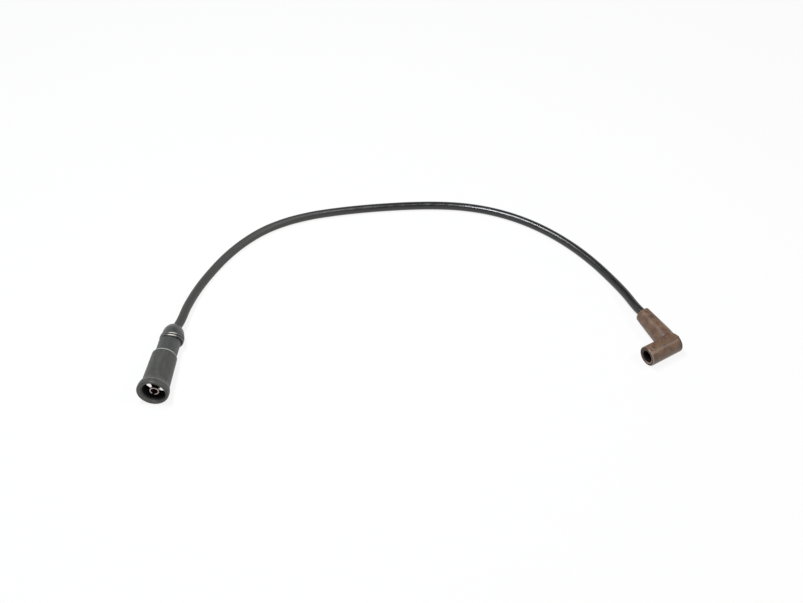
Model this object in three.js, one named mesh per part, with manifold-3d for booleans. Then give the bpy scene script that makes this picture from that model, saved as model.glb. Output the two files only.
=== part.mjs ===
// Spark plug wire: a 7 mm ignition lead lying in an open arch, with a straight black connector on
// its left end and a brown elbow boot on its right end.
// Millimetres, +Z up. The floor is z = 0, and the origin is below the middle of the two connectors.
import * as THREE from "three";
import { mergeVertices } from "three/addons/utils/BufferGeometryUtils.js";
import Module from "manifold-3d";

const wasm = await Module();
wasm.setup();

// Gap between pieces that touch on the real lead
const CLEARANCE = 0.3;

// Roundness of turned and swept pieces
const LARGE_SEGMENTS = 36;
const SMALL_SEGMENTS = 20;
const WIRE_SIDES = 6;
const CABLE_SIDES = 10;
const CABLE_STEPS = 30;

// Cable layers, from the inside out
const CORE_RADIUS = 0.8;
const INSULATION_WALL = 0.85;
const BRAID_WALL = 0.3;
const JACKET_WALL = 0.65;

const INSULATION_BORE = CORE_RADIUS + CLEARANCE;
const INSULATION_RADIUS = INSULATION_BORE + INSULATION_WALL;
const BRAID_BORE = INSULATION_RADIUS + CLEARANCE;
const BRAID_RADIUS = BRAID_BORE + BRAID_WALL;
const JACKET_BORE = BRAID_RADIUS + CLEARANCE;
const CABLE_RADIUS = JACKET_BORE + JACKET_WALL;
const CABLE_HOLE = CABLE_RADIUS + CLEARANCE;

// Straight connector: radii
const RIM_RADIUS = 12.3;
const RIM_OFF_CENTRE = 1.15;
const SLEEVE_OFF_CENTRE = 0.5;
const WELL_RADIUS = 9;
const FLARE_ROOT_RADIUS = 10.75;
const SLEEVE_WALL = 1.15;
const HOUSING_RADIUS = 8.4;
const SPIGOT_RADIUS = 7;
const CAP_WALL = 1.6;
const CAP_LIP = 0.55;
const CAP_LIP_DEPTH = 0.5;
const CAP_RIDGE = 0.4;
const CAP_SHIFT = 0.8;
const CAP_LEAN = 0.06;
const CAP_SKEW = 0.18;
const CAP_TIP = 0.4;
const BUSH_RADIUS = 6;
const RESISTOR_RADIUS = 2.6;
const END_CAP_WALL = 0.4;
const SCREW_RADIUS = 0.75;
const TERMINAL_RADIUS = 3.55;
const TERMINAL_WALL = 0.6;
const TERMINAL_BEAD = 0.7;
const STEM_RADIUS = 1.5;

// Straight connector: lengths along its axis
const SLEEVE_LENGTH = 38.5;
const RIM_DEPTH = 2;
const FLARE_LENGTH = 9;
const WELL_DEPTH = 18;
const WELL_BEVEL = 3;
const TERMINAL_RECESS = 2.4;
const TERMINAL_SLOT = 2;
const EAR_STATION = 5;
const EAR_REACH = 7.6;
const EAR_ROOT_WIDTH = 1.4;
const EAR_TIP_WIDTH = 3.4;
const EAR_THICKNESS = 0.5;
const BUSH_LENGTH = 6.5;
const RETAINER_THICKNESS = 0.6;
const STEM_END = 0.8;
const END_CAP_BASE = 0.5;
const END_CAP_LENGTH = 3.4;
const RESISTOR_LENGTH = 14;
const SPRING_LENGTH = 4.2;
const SPRING_TURNS = 3.5;
const SPRING_WIRE = 0.35;
const SCREW_HEAD = 1.2;
const SCREW_REACH = 7;
const SCREW_PITCH = 1.2;
const WEB_THICKNESS = 1.6;
const CABLE_GRIP = 12.1;
const SPIGOT_LENGTH = 4;
const CAP_OVERLAP = 1.6;
const DOME_LENGTH = 7.6;

// Straight connector: stations from the mouth, each one resting on the piece before it
const BUSH_BACK = WELL_DEPTH + BUSH_LENGTH;
const RETAINER_FRONT = BUSH_BACK + CLEARANCE;
const RETAINER_BACK = RETAINER_FRONT + RETAINER_THICKNESS;
const STEM_BACK = RETAINER_BACK + STEM_END;
const FRONT_CAP_START = STEM_BACK + CLEARANCE;
const RESISTOR_START = FRONT_CAP_START + END_CAP_BASE + CLEARANCE;
const RESISTOR_END = RESISTOR_START + RESISTOR_LENGTH;
const REAR_CAP_END = RESISTOR_END + CLEARANCE + END_CAP_BASE;
const SPRING_START = REAR_CAP_END + CLEARANCE;
const SPRING_END = SPRING_START + SPRING_LENGTH;
const HEAD_START = SPRING_END + CLEARANCE;
const HEAD_END = HEAD_START + SCREW_HEAD;
const WEB_START = HEAD_END + CLEARANCE;
const WEB_END = WEB_START + WEB_THICKNESS;
const CABLE_START = WEB_END + CLEARANCE;
const HOUSING_BACK = CABLE_START + CABLE_GRIP;
const SHOULDER = HOUSING_BACK - SPIGOT_LENGTH;
const DOME_START = HOUSING_BACK + CLEARANCE;
const DOME_END = DOME_START + DOME_LENGTH;

const CHAMBER_RADIUS = RESISTOR_RADIUS + 2 * CLEARANCE + END_CAP_WALL;
const SLEEVE_BORE = HOUSING_RADIUS + CLEARANCE;
const SLEEVE_RADIUS = SLEEVE_BORE + SLEEVE_WALL;
const CAP_BORE = SPIGOT_RADIUS + CLEARANCE;
const CAP_RADIUS = CAP_BORE + CAP_WALL;

// Elbow boot
const BARREL_LENGTH = 29.6;
const BARREL_MOUTH_RADIUS = 8.05;
const BARREL_BACK_RADIUS = 7.75;
const BARREL_BORE = 4.5;
const BARREL_BORE_DEPTH = 26.6;
const MOUTH_BEVEL = 1;
const EDGE_ROUND = 0.8;
const SADDLE_HALF_HEIGHT = 8.3;
const SADDLE_FRONT = 1.8;
const SADDLE_BACK = 4.2;
const SADDLE_START = 3.2;
const SADDLE_INSET = 0.4;
const SADDLE_CHAMFER = 3;
const NECK_STATION = 23.3;
const ELBOW_ANGLE = 85;
const NECK_LENGTH = 37;
const NECK_BASE_RADIUS = 8.3;
const NECK_BASE_STATION = 6.5;
const NECK_TIP_RADIUS = 6.7;
const NECK_CAVITY = 4.7;
const NECK_CAVITY_LENGTH = 20;

// Elbow terminal, one folded sheet
const SOCKET_RADIUS = 3.85;
const SHEET = 0.55;
const SOCKET_RECESS = 9;
const SOCKET_LENGTH = 10;
const SOCKET_SLOT = 1.2;
const WAIST_STATION = 4.5;
const WAIST_LENGTH = 1.5;
const WAIST_DEPTH = 0.5;
const STRAP_WIDTH = 3;
const STRAP_TURN = 24.6;
const CRIMP_START = 5;
const CRIMP_LENGTH = 5;
const CABLE_CUT = 13;
const GRIP_START = 14;
const GRIP_LENGTH = 5;
const GRIP_SLOT = 2;
const SNAP_WIRE = 0.3;

// Where the connectors lie, and which way each one points, in degrees from +Y towards +X
const PLUG_MOUTH = [-194.8, -42.99];
const PLUG_HEADING = 5.1;
const TERMINAL_ROLL = 20;
const EAR_ANGLE = 60;
const ELBOW_MOUTH = [179.1, -2.61];
const ELBOW_HEADING = 58.5;

// The cable between the connectors, chosen along the lead as it lies
const CABLE_ROUTE = [
  [-184.7, 35.3, 8],
  [-181.7, 52.3, 6.7],
  [-176.1, 73.3, 4.6],
  [-167.6, 93.7, 3.6],
  [-156.6, 113.1, 3.6],
  [-143.1, 130.8, 3.6],
  [-127.2, 145.7, 3.6],
  [-108.8, 156.7, 3.6],
  [-88.4, 164.4, 3.6],
  [-67, 169.4, 3.6],
  [-45.2, 173, 3.6],
  [-23.3, 175.6, 3.6],
  [-1.2, 177.3, 3.6],
  [21, 177.7, 3.6],
  [42.9, 176, 3.6],
  [64.1, 171.3, 3.6],
  [84.5, 163.4, 3.6],
  [103.5, 152.5, 3.6],
  [120.8, 139, 3.6],
  [136.4, 123.4, 3.6],
  [150.1, 106.2, 3.6],
  [161.8, 87.5, 4.2],
  [171.3, 67.8, 6.3],
  [178, 51, 7.9],
];

// A closed geometry as a solid that can be joined and cut
function solidOf(geometry) {
  const bare = geometry.index ? geometry.toNonIndexed() : geometry.clone();
  bare.deleteAttribute("normal");
  bare.deleteAttribute("uv");
  const merged = mergeVertices(bare, 1e-4);
  return new wasm.Manifold(
    new wasm.Mesh({
      numProp: 3,
      vertProperties: merged.attributes.position.array,
      triVerts: new Uint32Array(merged.index.array),
    }),
  );
}

function geometryOf(solid) {
  const mesh = solid.getMesh();
  const positions = new Float32Array(mesh.numVert * 3);
  for (let i = 0; i < mesh.numVert; i++) {
    const first = i * mesh.numProp;
    positions.set(mesh.vertProperties.subarray(first, first + 3), i * 3);
  }
  return new THREE.BufferGeometry()
    .setAttribute("position", new THREE.BufferAttribute(positions, 3))
    .setIndex(new THREE.BufferAttribute(mesh.triVerts, 1));
}

function join(first, ...others) {
  return geometryOf(others.reduce((sum, other) => sum.add(solidOf(other)), solidOf(first)));
}

function cut(first, ...others) {
  return geometryOf(others.reduce((rest, other) => rest.subtract(solidOf(other)), solidOf(first)));
}

function common(first, second) {
  return geometryOf(solidOf(first).intersect(solidOf(second)));
}

// A turned piece about Y. The outline is a list of [radius, station], outer side first.
function turned(outline, segments) {
  const points = outline.map(([radius, station]) => new THREE.Vector2(radius, station));
  return new THREE.LatheGeometry(points, segments);
}

// A turned piece with a hole through it: the outline closes on itself
function turnedRing(outline, segments) {
  return turned([...outline, outline[0]], segments);
}

function rod(radius, start, end, segments) {
  return turned(
    [
      [0, start],
      [radius, start],
      [radius, end],
      [0, end],
    ],
    segments,
  );
}

function tube(radius, bore, start, end, segments) {
  return turnedRing(
    [
      [radius, start],
      [radius, end],
      [bore, end],
      [bore, start],
    ],
    segments,
  );
}

function block(width, length, height, x, y, z) {
  return new THREE.BoxGeometry(width, length, height).translate(x, y, z);
}

// A round section as a closed shape, with an optional hole
function sectionShape(radius, bore, sides) {
  const corners = (size) =>
    Array.from({ length: sides }, (_, i) => {
      const angle = (2 * Math.PI * i) / sides;
      return new THREE.Vector2(size * Math.cos(angle), size * Math.sin(angle));
    });
  const shape = new THREE.Shape(corners(radius));
  if (bore > 0) shape.holes.push(new THREE.Path(corners(bore)));
  return shape;
}

function swept(path, steps, radius, bore, sides) {
  return new THREE.ExtrudeGeometry(sectionShape(radius, bore, sides), {
    steps,
    extrudePath: path,
    bevelEnabled: false,
  });
}

// A flat plate with the plan outline of the points, centred on z = 0
function slab(points, height) {
  const shape = new THREE.Shape(points.map(([x, y]) => new THREE.Vector2(x, y)));
  const plate = new THREE.ExtrudeGeometry(shape, { depth: height, bevelEnabled: false });
  return plate.translate(0, 0, -height / 2);
}

// A folded strip of sheet: a line of [x, y] points given a thickness, extruded across Z
function strap(points, thickness, width) {
  const line = points.map(([x, y]) => new THREE.Vector2(x, y));
  const side = (sign) =>
    line.map((point, i) => {
      const before = point.clone().sub(line[Math.max(i - 1, 0)]);
      const after = line[Math.min(i + 1, line.length - 1)].clone().sub(point);
      const into = (before.lengthSq() ? before : after).clone().normalize();
      const away = (after.lengthSq() ? after : before).clone().normalize();
      const tangent = into.clone().add(away).normalize();
      const mitre = (sign * thickness) / 2 / Math.max(tangent.dot(away), 0.5);
      return point.clone().add(new THREE.Vector2(-tangent.y, tangent.x).multiplyScalar(mitre));
    });
  const shape = new THREE.Shape([...side(1), ...side(-1).reverse()]);
  return new THREE.ExtrudeGeometry(shape, { depth: width, bevelEnabled: false }).translate(
    0,
    0,
    -width / 2,
  );
}

function material(color, roughness, metalness = 0) {
  return new THREE.MeshStandardMaterial({ color, roughness, metalness });
}

const BLACK_RUBBER = material("#3b3c3b", 0.55);
const BLACK_PLASTIC = material("#3f403f", 0.45);
const BROWN_SILICONE = material("#6b5446", 0.6);
const CABLE_RUBBER = material("#2f302f", 0.35);
const CREAM_RUBBER = material("#c9c0a8", 0.7);
const GLASS_BRAID = material("#d8d4c6", 0.85);
const CARBON_CORE = material("#1c1c1d", 0.8);
const PLATED_STEEL = material("#b9b4ae", 0.3, 1);
const SPRING_STEEL = material("#a7a7a5", 0.35, 1);
const BRASS = material("#b9975a", 0.35, 1);
const WHITE_CERAMIC = material("#e6e2d8", 0.5);

function piece(name, geometry, finish) {
  const mesh = new THREE.Mesh(geometry, finish);
  mesh.name = name;
  return mesh;
}

// The straight connector rests on its rim and on the lip of its seal cap
const CAP_LIP_RADIUS = CAP_RADIUS + CAP_LIP;
const SKIRT_STATION = SHOULDER - CAP_OVERLAP;
const LIP_STATION = SKIRT_STATION + CAP_LIP_DEPTH;
const RIDGE_STATION = SKIRT_STATION + 3.1;
const PLUG_TILT = Math.atan((RIM_RADIUS - CAP_LIP_RADIUS) / (LIP_STATION - RIM_DEPTH));

function plugFrame() {
  const frame = new THREE.Group();
  const lift = RIM_RADIUS * Math.cos(PLUG_TILT) + RIM_DEPTH * Math.sin(PLUG_TILT);
  frame.position.set(PLUG_MOUTH[0], PLUG_MOUTH[1], lift);
  frame.rotation.order = "ZXY";
  frame.rotation.z = -THREE.MathUtils.degToRad(PLUG_HEADING);
  frame.rotation.x = -PLUG_TILT;
  frame.updateMatrixWorld(true);
  return frame;
}

function elbowFrame() {
  const frame = new THREE.Group();
  frame.position.set(ELBOW_MOUTH[0], ELBOW_MOUTH[1], SADDLE_HALF_HEIGHT);
  frame.rotation.z = -THREE.MathUtils.degToRad(ELBOW_HEADING);
  frame.updateMatrixWorld(true);
  return frame;
}

// The neck's own frame inside the elbow's: +Y runs out along the neck
function neckMatrix() {
  const turn = new THREE.Matrix4().makeRotationZ(THREE.MathUtils.degToRad(ELBOW_ANGLE));
  return turn.setPosition(0, NECK_STATION, 0);
}

function cableCurve(plug, elbow) {
  const onPlug = (station) => new THREE.Vector3(0, station, 0).applyMatrix4(plug.matrixWorld);
  const onNeck = (station) =>
    new THREE.Vector3(0, station, 0).applyMatrix4(neckMatrix()).applyMatrix4(elbow.matrixWorld);
  const between = CABLE_ROUTE.map((point) => new THREE.Vector3(...point));
  const points = [
    onPlug(CABLE_START),
    onPlug((CABLE_START + HOUSING_BACK) / 2),
    onPlug(HOUSING_BACK),
    ...between,
    onNeck(NECK_LENGTH),
    onNeck((NECK_LENGTH + CABLE_CUT) / 2),
    onNeck(CABLE_CUT),
  ];
  return new THREE.CatmullRomCurve3(points, false, "centripetal");
}

// The sleeve's outside stands off centre: its wall is thicker on the left, most of all at the rim
function leanOutside(geometry) {
  const position = geometry.attributes.position;
  for (let i = 0; i < position.count; i++) {
    const flare = THREE.MathUtils.clamp(1 - position.getY(i) / FLARE_LENGTH, 0, 1);
    const radius = Math.hypot(position.getX(i), position.getZ(i));
    const outside = flare > 0 ? FLARE_ROOT_RADIUS : SLEEVE_RADIUS - 0.4;
    const share = THREE.MathUtils.smoothstep(radius, WELL_RADIUS, outside);
    const shift = THREE.MathUtils.lerp(SLEEVE_OFF_CENTRE, RIM_OFF_CENTRE, flare);
    position.setX(i, position.getX(i) - shift * share);
  }
  return geometry;
}

function plugSleeve() {
  const outline = [
    [WELL_RADIUS + 1.6, 0],
    [RIM_RADIUS - 1, 0],
    [RIM_RADIUS - 0.35, 0.5],
    [RIM_RADIUS, RIM_DEPTH],
    [RIM_RADIUS - 0.2, 0.55 * FLARE_LENGTH],
    [(RIM_RADIUS + FLARE_ROOT_RADIUS) / 2 + 0.05, 0.78 * FLARE_LENGTH],
    [FLARE_ROOT_RADIUS, FLARE_LENGTH],
    [SLEEVE_RADIUS, SLEEVE_LENGTH - 0.4],
    [SLEEVE_RADIUS - 0.4, SLEEVE_LENGTH],
    [SLEEVE_BORE, SLEEVE_LENGTH],
    [SLEEVE_BORE, WELL_DEPTH],
    [WELL_RADIUS, WELL_DEPTH - 0.6],
    [WELL_RADIUS, WELL_BEVEL],
    [WELL_RADIUS + 0.6, 0.45 * WELL_BEVEL],
  ];
  return leanOutside(turnedRing(outline, LARGE_SEGMENTS));
}

function plugHousing(cableHole) {
  const body = turnedRing(
    [
      [HOUSING_RADIUS - 0.5, WELL_DEPTH],
      [HOUSING_RADIUS, WELL_DEPTH + 0.8],
      [HOUSING_RADIUS, SHOULDER - CLEARANCE],
      [SPIGOT_RADIUS, SHOULDER - CLEARANCE],
      [SPIGOT_RADIUS, HOUSING_BACK - 0.6],
      [SPIGOT_RADIUS - 0.6, HOUSING_BACK],
      [SCREW_RADIUS + CLEARANCE, HOUSING_BACK],
      [SCREW_RADIUS + CLEARANCE, WEB_START],
      [CHAMBER_RADIUS, WEB_START],
      [CHAMBER_RADIUS, BUSH_BACK + CLEARANCE],
      [BUSH_RADIUS + CLEARANCE, BUSH_BACK + CLEARANCE],
      [BUSH_RADIUS + CLEARANCE, WELL_DEPTH],
    ],
    LARGE_SEGMENTS,
  );
  return cut(body, cableHole);
}

// The cap sits askew: off to the right, most of all at its dome. The top of its skirt is tipped
// towards the mouth, and the left side of its dome is further back.
function leanCap(geometry) {
  const position = geometry.attributes.position;
  for (let i = 0; i < position.count; i++) {
    const x = position.getX(i);
    const y = position.getY(i);
    const dome = THREE.MathUtils.smoothstep(y, RIDGE_STATION + 0.9, DOME_START + 0.2 * DOME_LENGTH);
    const tip = CAP_TIP * Math.max(position.getZ(i), 0);
    position.setX(i, x + CAP_SHIFT + CAP_LEAN * (y - LIP_STATION));
    position.setY(i, y - THREE.MathUtils.lerp(tip, CAP_SKEW * x, dome));
  }
  return geometry;
}

// The skirt reaches over the housing's end, and the rest of the cap grips the spigot
function sealCap(cableHole) {
  const skirt = SKIRT_STATION;
  const ridge = RIDGE_STATION;
  const body = turned(
    [
      [0, skirt],
      [CAP_LIP_RADIUS - 0.3, skirt],
      [CAP_LIP_RADIUS, LIP_STATION],
      [CAP_LIP_RADIUS - 0.15, skirt + 1.2],
      [CAP_RADIUS - 0.05, skirt + 1.9],
      [CAP_RADIUS - 0.05, ridge - 0.7],
      [CAP_RADIUS + CAP_RIDGE, ridge - 0.2],
      [CAP_RADIUS + CAP_RIDGE, ridge + 0.2],
      [CAP_RADIUS - 0.1, ridge + 0.9],
      [CAP_RADIUS - 0.1, DOME_START],
      [0.94 * CAP_RADIUS, DOME_START + 0.2 * DOME_LENGTH],
      [0.87 * CAP_RADIUS, DOME_START + 0.45 * DOME_LENGTH],
      [0.77 * CAP_RADIUS, DOME_START + 0.7 * DOME_LENGTH],
      [0.66 * CAP_RADIUS, DOME_START + 0.88 * DOME_LENGTH],
      [0.54 * CAP_RADIUS, DOME_END],
      [0, DOME_END],
    ],
    LARGE_SEGMENTS,
  );
  const housingRoom = rod(
    HOUSING_RADIUS + CLEARANCE,
    skirt - CAP_LIP_RADIUS,
    SHOULDER,
    LARGE_SEGMENTS,
  );
  const spigotRoom = rod(CAP_BORE, SHOULDER - 1, DOME_START, LARGE_SEGMENTS);
  return cut(leanCap(body), housingRoom, spigotRoom, cableHole);
}

function terminalBush() {
  return tube(BUSH_RADIUS, STEM_RADIUS + CLEARANCE, WELL_DEPTH, BUSH_BACK, SMALL_SEGMENTS);
}

// A rolled socket with a beaded front edge, a slot along its underside and a stem through the bush.
// It lies rolled a little about its axis.
function plugTerminal() {
  const front = TERMINAL_RECESS;
  const back = WELL_DEPTH - CLEARANCE;
  const bore = TERMINAL_RADIUS - TERMINAL_WALL;
  const socket = turned(
    [
      [0, back - 1],
      [bore, back - 1],
      [bore, front + 2 * TERMINAL_BEAD],
      [bore - 0.35, front + TERMINAL_BEAD],
      [bore - 0.1, front + 0.2],
      [TERMINAL_RADIUS - 0.35, front],
      [TERMINAL_RADIUS + 0.15, front + 0.35],
      [TERMINAL_RADIUS + 0.15, front + TERMINAL_BEAD + 0.3],
      [TERMINAL_RADIUS, front + 2 * TERMINAL_BEAD],
      [TERMINAL_RADIUS, back],
      [STEM_RADIUS, back],
      [STEM_RADIUS, STEM_BACK],
      [0, STEM_BACK],
    ],
    SMALL_SEGMENTS,
  );
  const length = back - 2.5 - front;
  const slot = block(
    TERMINAL_SLOT,
    length + 1,
    2 * TERMINAL_RADIUS,
    0,
    front + length / 2 - 0.5,
    -TERMINAL_RADIUS - 1,
  );
  const terminal = join(cut(socket, slot), terminalEar(1), terminalEar(-1));
  return terminal.rotateY(THREE.MathUtils.degToRad(TERMINAL_ROLL));
}

// A flat ear that faces the mouth and widens from the socket's side towards the wall of the well
function terminalEar(side) {
  const root = TERMINAL_RADIUS - TERMINAL_WALL / 2;
  const ear = slab(
    [
      [-EAR_ROOT_WIDTH / 2, root],
      [EAR_ROOT_WIDTH / 2, root],
      [EAR_TIP_WIDTH / 2, EAR_REACH - 0.3 * EAR_TIP_WIDTH],
      [0.3 * EAR_TIP_WIDTH, EAR_REACH],
      [-0.3 * EAR_TIP_WIDTH, EAR_REACH],
      [-EAR_TIP_WIDTH / 2, EAR_REACH - 0.3 * EAR_TIP_WIDTH],
    ],
    EAR_THICKNESS,
  );
  return ear
    .rotateX(Math.PI / 2)
    .rotateY(side * THREE.MathUtils.degToRad(EAR_ANGLE))
    .translate(0, EAR_STATION, 0);
}

function stemRetainer() {
  return tube(
    CHAMBER_RADIUS - CLEARANCE,
    STEM_RADIUS + CLEARANCE,
    RETAINER_FRONT,
    RETAINER_BACK,
    SMALL_SEGMENTS,
  );
}

function resistorRod() {
  return rod(RESISTOR_RADIUS, RESISTOR_START, RESISTOR_END, SMALL_SEGMENTS);
}

// A cup over one end of the resistor. The base is at the station base, and open points to the rod.
function resistorCap(base, open) {
  const outer = RESISTOR_RADIUS + CLEARANCE + END_CAP_WALL;
  const inner = RESISTOR_RADIUS + CLEARANCE;
  const outline = [
    [0, base],
    [outer, base],
    [outer, base + open * END_CAP_LENGTH],
    [inner, base + open * END_CAP_LENGTH],
    [inner, base + open * END_CAP_BASE],
    [0, base + open * END_CAP_BASE],
  ];
  return turned(open > 0 ? outline : outline.reverse(), SMALL_SEGMENTS);
}

class HelixCurve extends THREE.Curve {
  constructor(radius, start, end, turns) {
    super();
    Object.assign(this, { radius, start, end, turns });
  }

  getPoint(t, target = new THREE.Vector3()) {
    const angle = 2 * Math.PI * this.turns * t;
    return target.set(
      this.radius * Math.cos(angle),
      THREE.MathUtils.lerp(this.start, this.end, t),
      this.radius * Math.sin(angle),
    );
  }
}

function contactSpring() {
  const radius = RESISTOR_RADIUS - SPRING_WIRE;
  const helix = new HelixCurve(
    radius,
    SPRING_START + SPRING_WIRE,
    SPRING_END - SPRING_WIRE,
    SPRING_TURNS,
  );
  return swept(helix, 10 * SPRING_TURNS, SPRING_WIRE, 0, WIRE_SIDES);
}

// A flat head in the chamber and a threaded shank that runs through the web into the cable
function contactScrew() {
  const root = 0.7 * SCREW_RADIUS;
  const tip = CABLE_START + SCREW_REACH;
  const outline = [
    [0, HEAD_START],
    [CHAMBER_RADIUS - CLEARANCE, HEAD_START],
    [CHAMBER_RADIUS - CLEARANCE, HEAD_END],
    [root, HEAD_END],
  ];
  for (let y = WEB_END; y < tip - 2 * SCREW_PITCH; y += SCREW_PITCH) {
    outline.push([root, y], [SCREW_RADIUS, y + SCREW_PITCH / 2]);
  }
  outline.push([root, tip - 1.5], [0, tip]);
  return turned(outline, SMALL_SEGMENTS / 2);
}

function elbowBoot(cableHole) {
  const barrel = turned(
    [
      [0, 0],
      [BARREL_MOUTH_RADIUS - EDGE_ROUND, 0],
      [BARREL_MOUTH_RADIUS - 0.3 * EDGE_ROUND, 0.3 * EDGE_ROUND],
      [BARREL_MOUTH_RADIUS, EDGE_ROUND],
      [BARREL_BACK_RADIUS, BARREL_LENGTH - 1.5 * EDGE_ROUND],
      [BARREL_BACK_RADIUS - 0.4 * EDGE_ROUND, BARREL_LENGTH - 0.5 * EDGE_ROUND],
      [BARREL_BACK_RADIUS - 1.5 * EDGE_ROUND, BARREL_LENGTH],
      [0, BARREL_LENGTH],
    ],
    LARGE_SEGMENTS,
  );
  const saddle = slab(
    [
      [-SADDLE_BACK, SADDLE_START],
      [SADDLE_FRONT, SADDLE_START],
      [SADDLE_FRONT, BARREL_LENGTH - SADDLE_INSET],
      [SADDLE_FRONT - SADDLE_BACK, BARREL_LENGTH - SADDLE_INSET - SADDLE_CHAMFER / 3],
      [-SADDLE_BACK, BARREL_LENGTH - SADDLE_INSET - SADDLE_CHAMFER],
    ],
    2 * SADDLE_HALF_HEIGHT,
  );
  const neck = turned(
    [
      [0, 0],
      [NECK_BASE_RADIUS, 0],
      [NECK_BASE_RADIUS, NECK_BASE_STATION],
      [NECK_TIP_RADIUS, NECK_LENGTH - EDGE_ROUND],
      [NECK_TIP_RADIUS - 0.3 * EDGE_ROUND, NECK_LENGTH - 0.3 * EDGE_ROUND],
      [NECK_TIP_RADIUS - EDGE_ROUND, NECK_LENGTH],
      [0, NECK_LENGTH],
    ],
    LARGE_SEGMENTS,
  ).applyMatrix4(neckMatrix());
  const reach = 2 * (NECK_LENGTH + NECK_BASE_RADIUS);
  const behindMouth = block(reach, BARREL_LENGTH, reach, 0, BARREL_LENGTH / 2, 0);
  const bore = turned(
    [
      [0, -1],
      [BARREL_BORE + 2 * MOUTH_BEVEL, -1],
      [BARREL_BORE + MOUTH_BEVEL, 0],
      [BARREL_BORE, MOUTH_BEVEL],
      [BARREL_BORE, BARREL_BORE_DEPTH],
      [0, BARREL_BORE_DEPTH],
    ],
    LARGE_SEGMENTS,
  );
  const cavity = rod(NECK_CAVITY, 0, NECK_CAVITY_LENGTH, SMALL_SEGMENTS).applyMatrix4(neckMatrix());
  const solid = join(barrel, saddle, common(neck, behindMouth));
  return cut(solid, bore, cavity, cableHole);
}

// The elbow's rolled socket, with a waist for its snap ring and a slot on the neck's side
function elbowSocket() {
  const start = SOCKET_RECESS;
  const end = start + SOCKET_LENGTH;
  const waist = start + WAIST_STATION;
  const inner = SOCKET_RADIUS - SHEET;
  const outline = [
    [SOCKET_RADIUS, start],
    [SOCKET_RADIUS, waist - 0.4],
    [SOCKET_RADIUS - WAIST_DEPTH, waist],
    [SOCKET_RADIUS - WAIST_DEPTH, waist + WAIST_LENGTH],
    [SOCKET_RADIUS, waist + WAIST_LENGTH + 0.4],
    [SOCKET_RADIUS, end],
    [inner, end],
    [inner, waist + WAIST_LENGTH + 0.4],
    [inner - WAIST_DEPTH, waist + WAIST_LENGTH],
    [inner - WAIST_DEPTH, waist],
    [inner, waist - 0.4],
    [inner, start],
  ];
  const slot = block(
    2 * SOCKET_RADIUS,
    SOCKET_LENGTH + 2,
    SOCKET_SLOT,
    -SOCKET_RADIUS,
    start + SOCKET_LENGTH / 2,
    0,
  );
  return cut(turnedRing(outline, SMALL_SEGMENTS), slot);
}

// A rolled crimp about the neck's axis, with its open seam towards the barrel's mouth
function crimp(bore, start, length, seam) {
  const ring = tube(bore + SHEET, bore, start, start + length, SMALL_SEGMENTS);
  const gap = block(2 * (bore + SHEET), length + 2, seam, -bore - SHEET, start + length / 2, 0);
  return cut(ring, gap).applyMatrix4(neckMatrix());
}

function elbowTerminal() {
  const onNeck = (x, y) => {
    const point = new THREE.Vector3(x, y, 0).applyMatrix4(neckMatrix());
    return [point.x, point.y];
  };
  const coreBore = CORE_RADIUS + CLEARANCE;
  const coreSide = coreBore + SHEET / 2;
  const gripSide = CABLE_HOLE + SHEET / 2;
  const wall = SOCKET_RADIUS - SHEET / 2;
  const spine = strap(
    [
      [wall, SOCKET_RECESS + SOCKET_LENGTH - 1.5],
      [wall, STRAP_TURN],
      onNeck(coreSide, CRIMP_START - 2),
      onNeck(coreSide, CRIMP_START + CRIMP_LENGTH),
      onNeck(gripSide, CABLE_CUT - 2 * CLEARANCE - SHEET / 2),
      onNeck(gripSide, GRIP_START + GRIP_LENGTH),
    ],
    SHEET,
    STRAP_WIDTH,
  );
  return join(
    elbowSocket(),
    cut(spine, rod(coreBore, CRIMP_START - 4, CABLE_CUT, SMALL_SEGMENTS).applyMatrix4(neckMatrix())),
    crimp(coreBore, CRIMP_START, CRIMP_LENGTH, 0.5),
    crimp(CABLE_HOLE, GRIP_START, GRIP_LENGTH, GRIP_SLOT),
  );
}

// A wire ring, open on one side, that lies in the waist of the elbow's socket
function snapRing() {
  const radius = SOCKET_RADIUS - WAIST_DEPTH + CLEARANCE + SNAP_WIRE;
  const station = SOCKET_RECESS + WAIST_STATION + WAIST_LENGTH / 2;
  const ring = new THREE.TorusGeometry(radius, SNAP_WIRE, WIRE_SIDES, 1.4 * SMALL_SEGMENTS)
    .rotateX(Math.PI / 2)
    .translate(0, station, 0);
  const gap = block(2 * radius, 4 * SNAP_WIRE, 3, -radius, station, 0);
  return cut(ring, gap);
}

// One layer of the cable, over the whole route
function cableLayer(path, radius, bore) {
  return swept(path, CABLE_STEPS, radius, bore, CABLE_SIDES);
}

// The conductor runs on past the cut end of the cable, along the neck and into its crimp
function cableCore(path, elbow) {
  const tail = rod(CORE_RADIUS, CRIMP_START, CABLE_CUT + 1, CABLE_SIDES)
    .applyMatrix4(neckMatrix())
    .applyMatrix4(elbow.matrixWorld);
  const screwRoom = rod(
    CABLE_RADIUS,
    CABLE_START - 1,
    CABLE_START + SCREW_REACH + CLEARANCE,
    CABLE_SIDES,
  ).applyMatrix4(plugFrame().matrixWorld);
  return cut(join(cableLayer(path, CORE_RADIUS, 0), tail), screwRoom);
}

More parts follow.
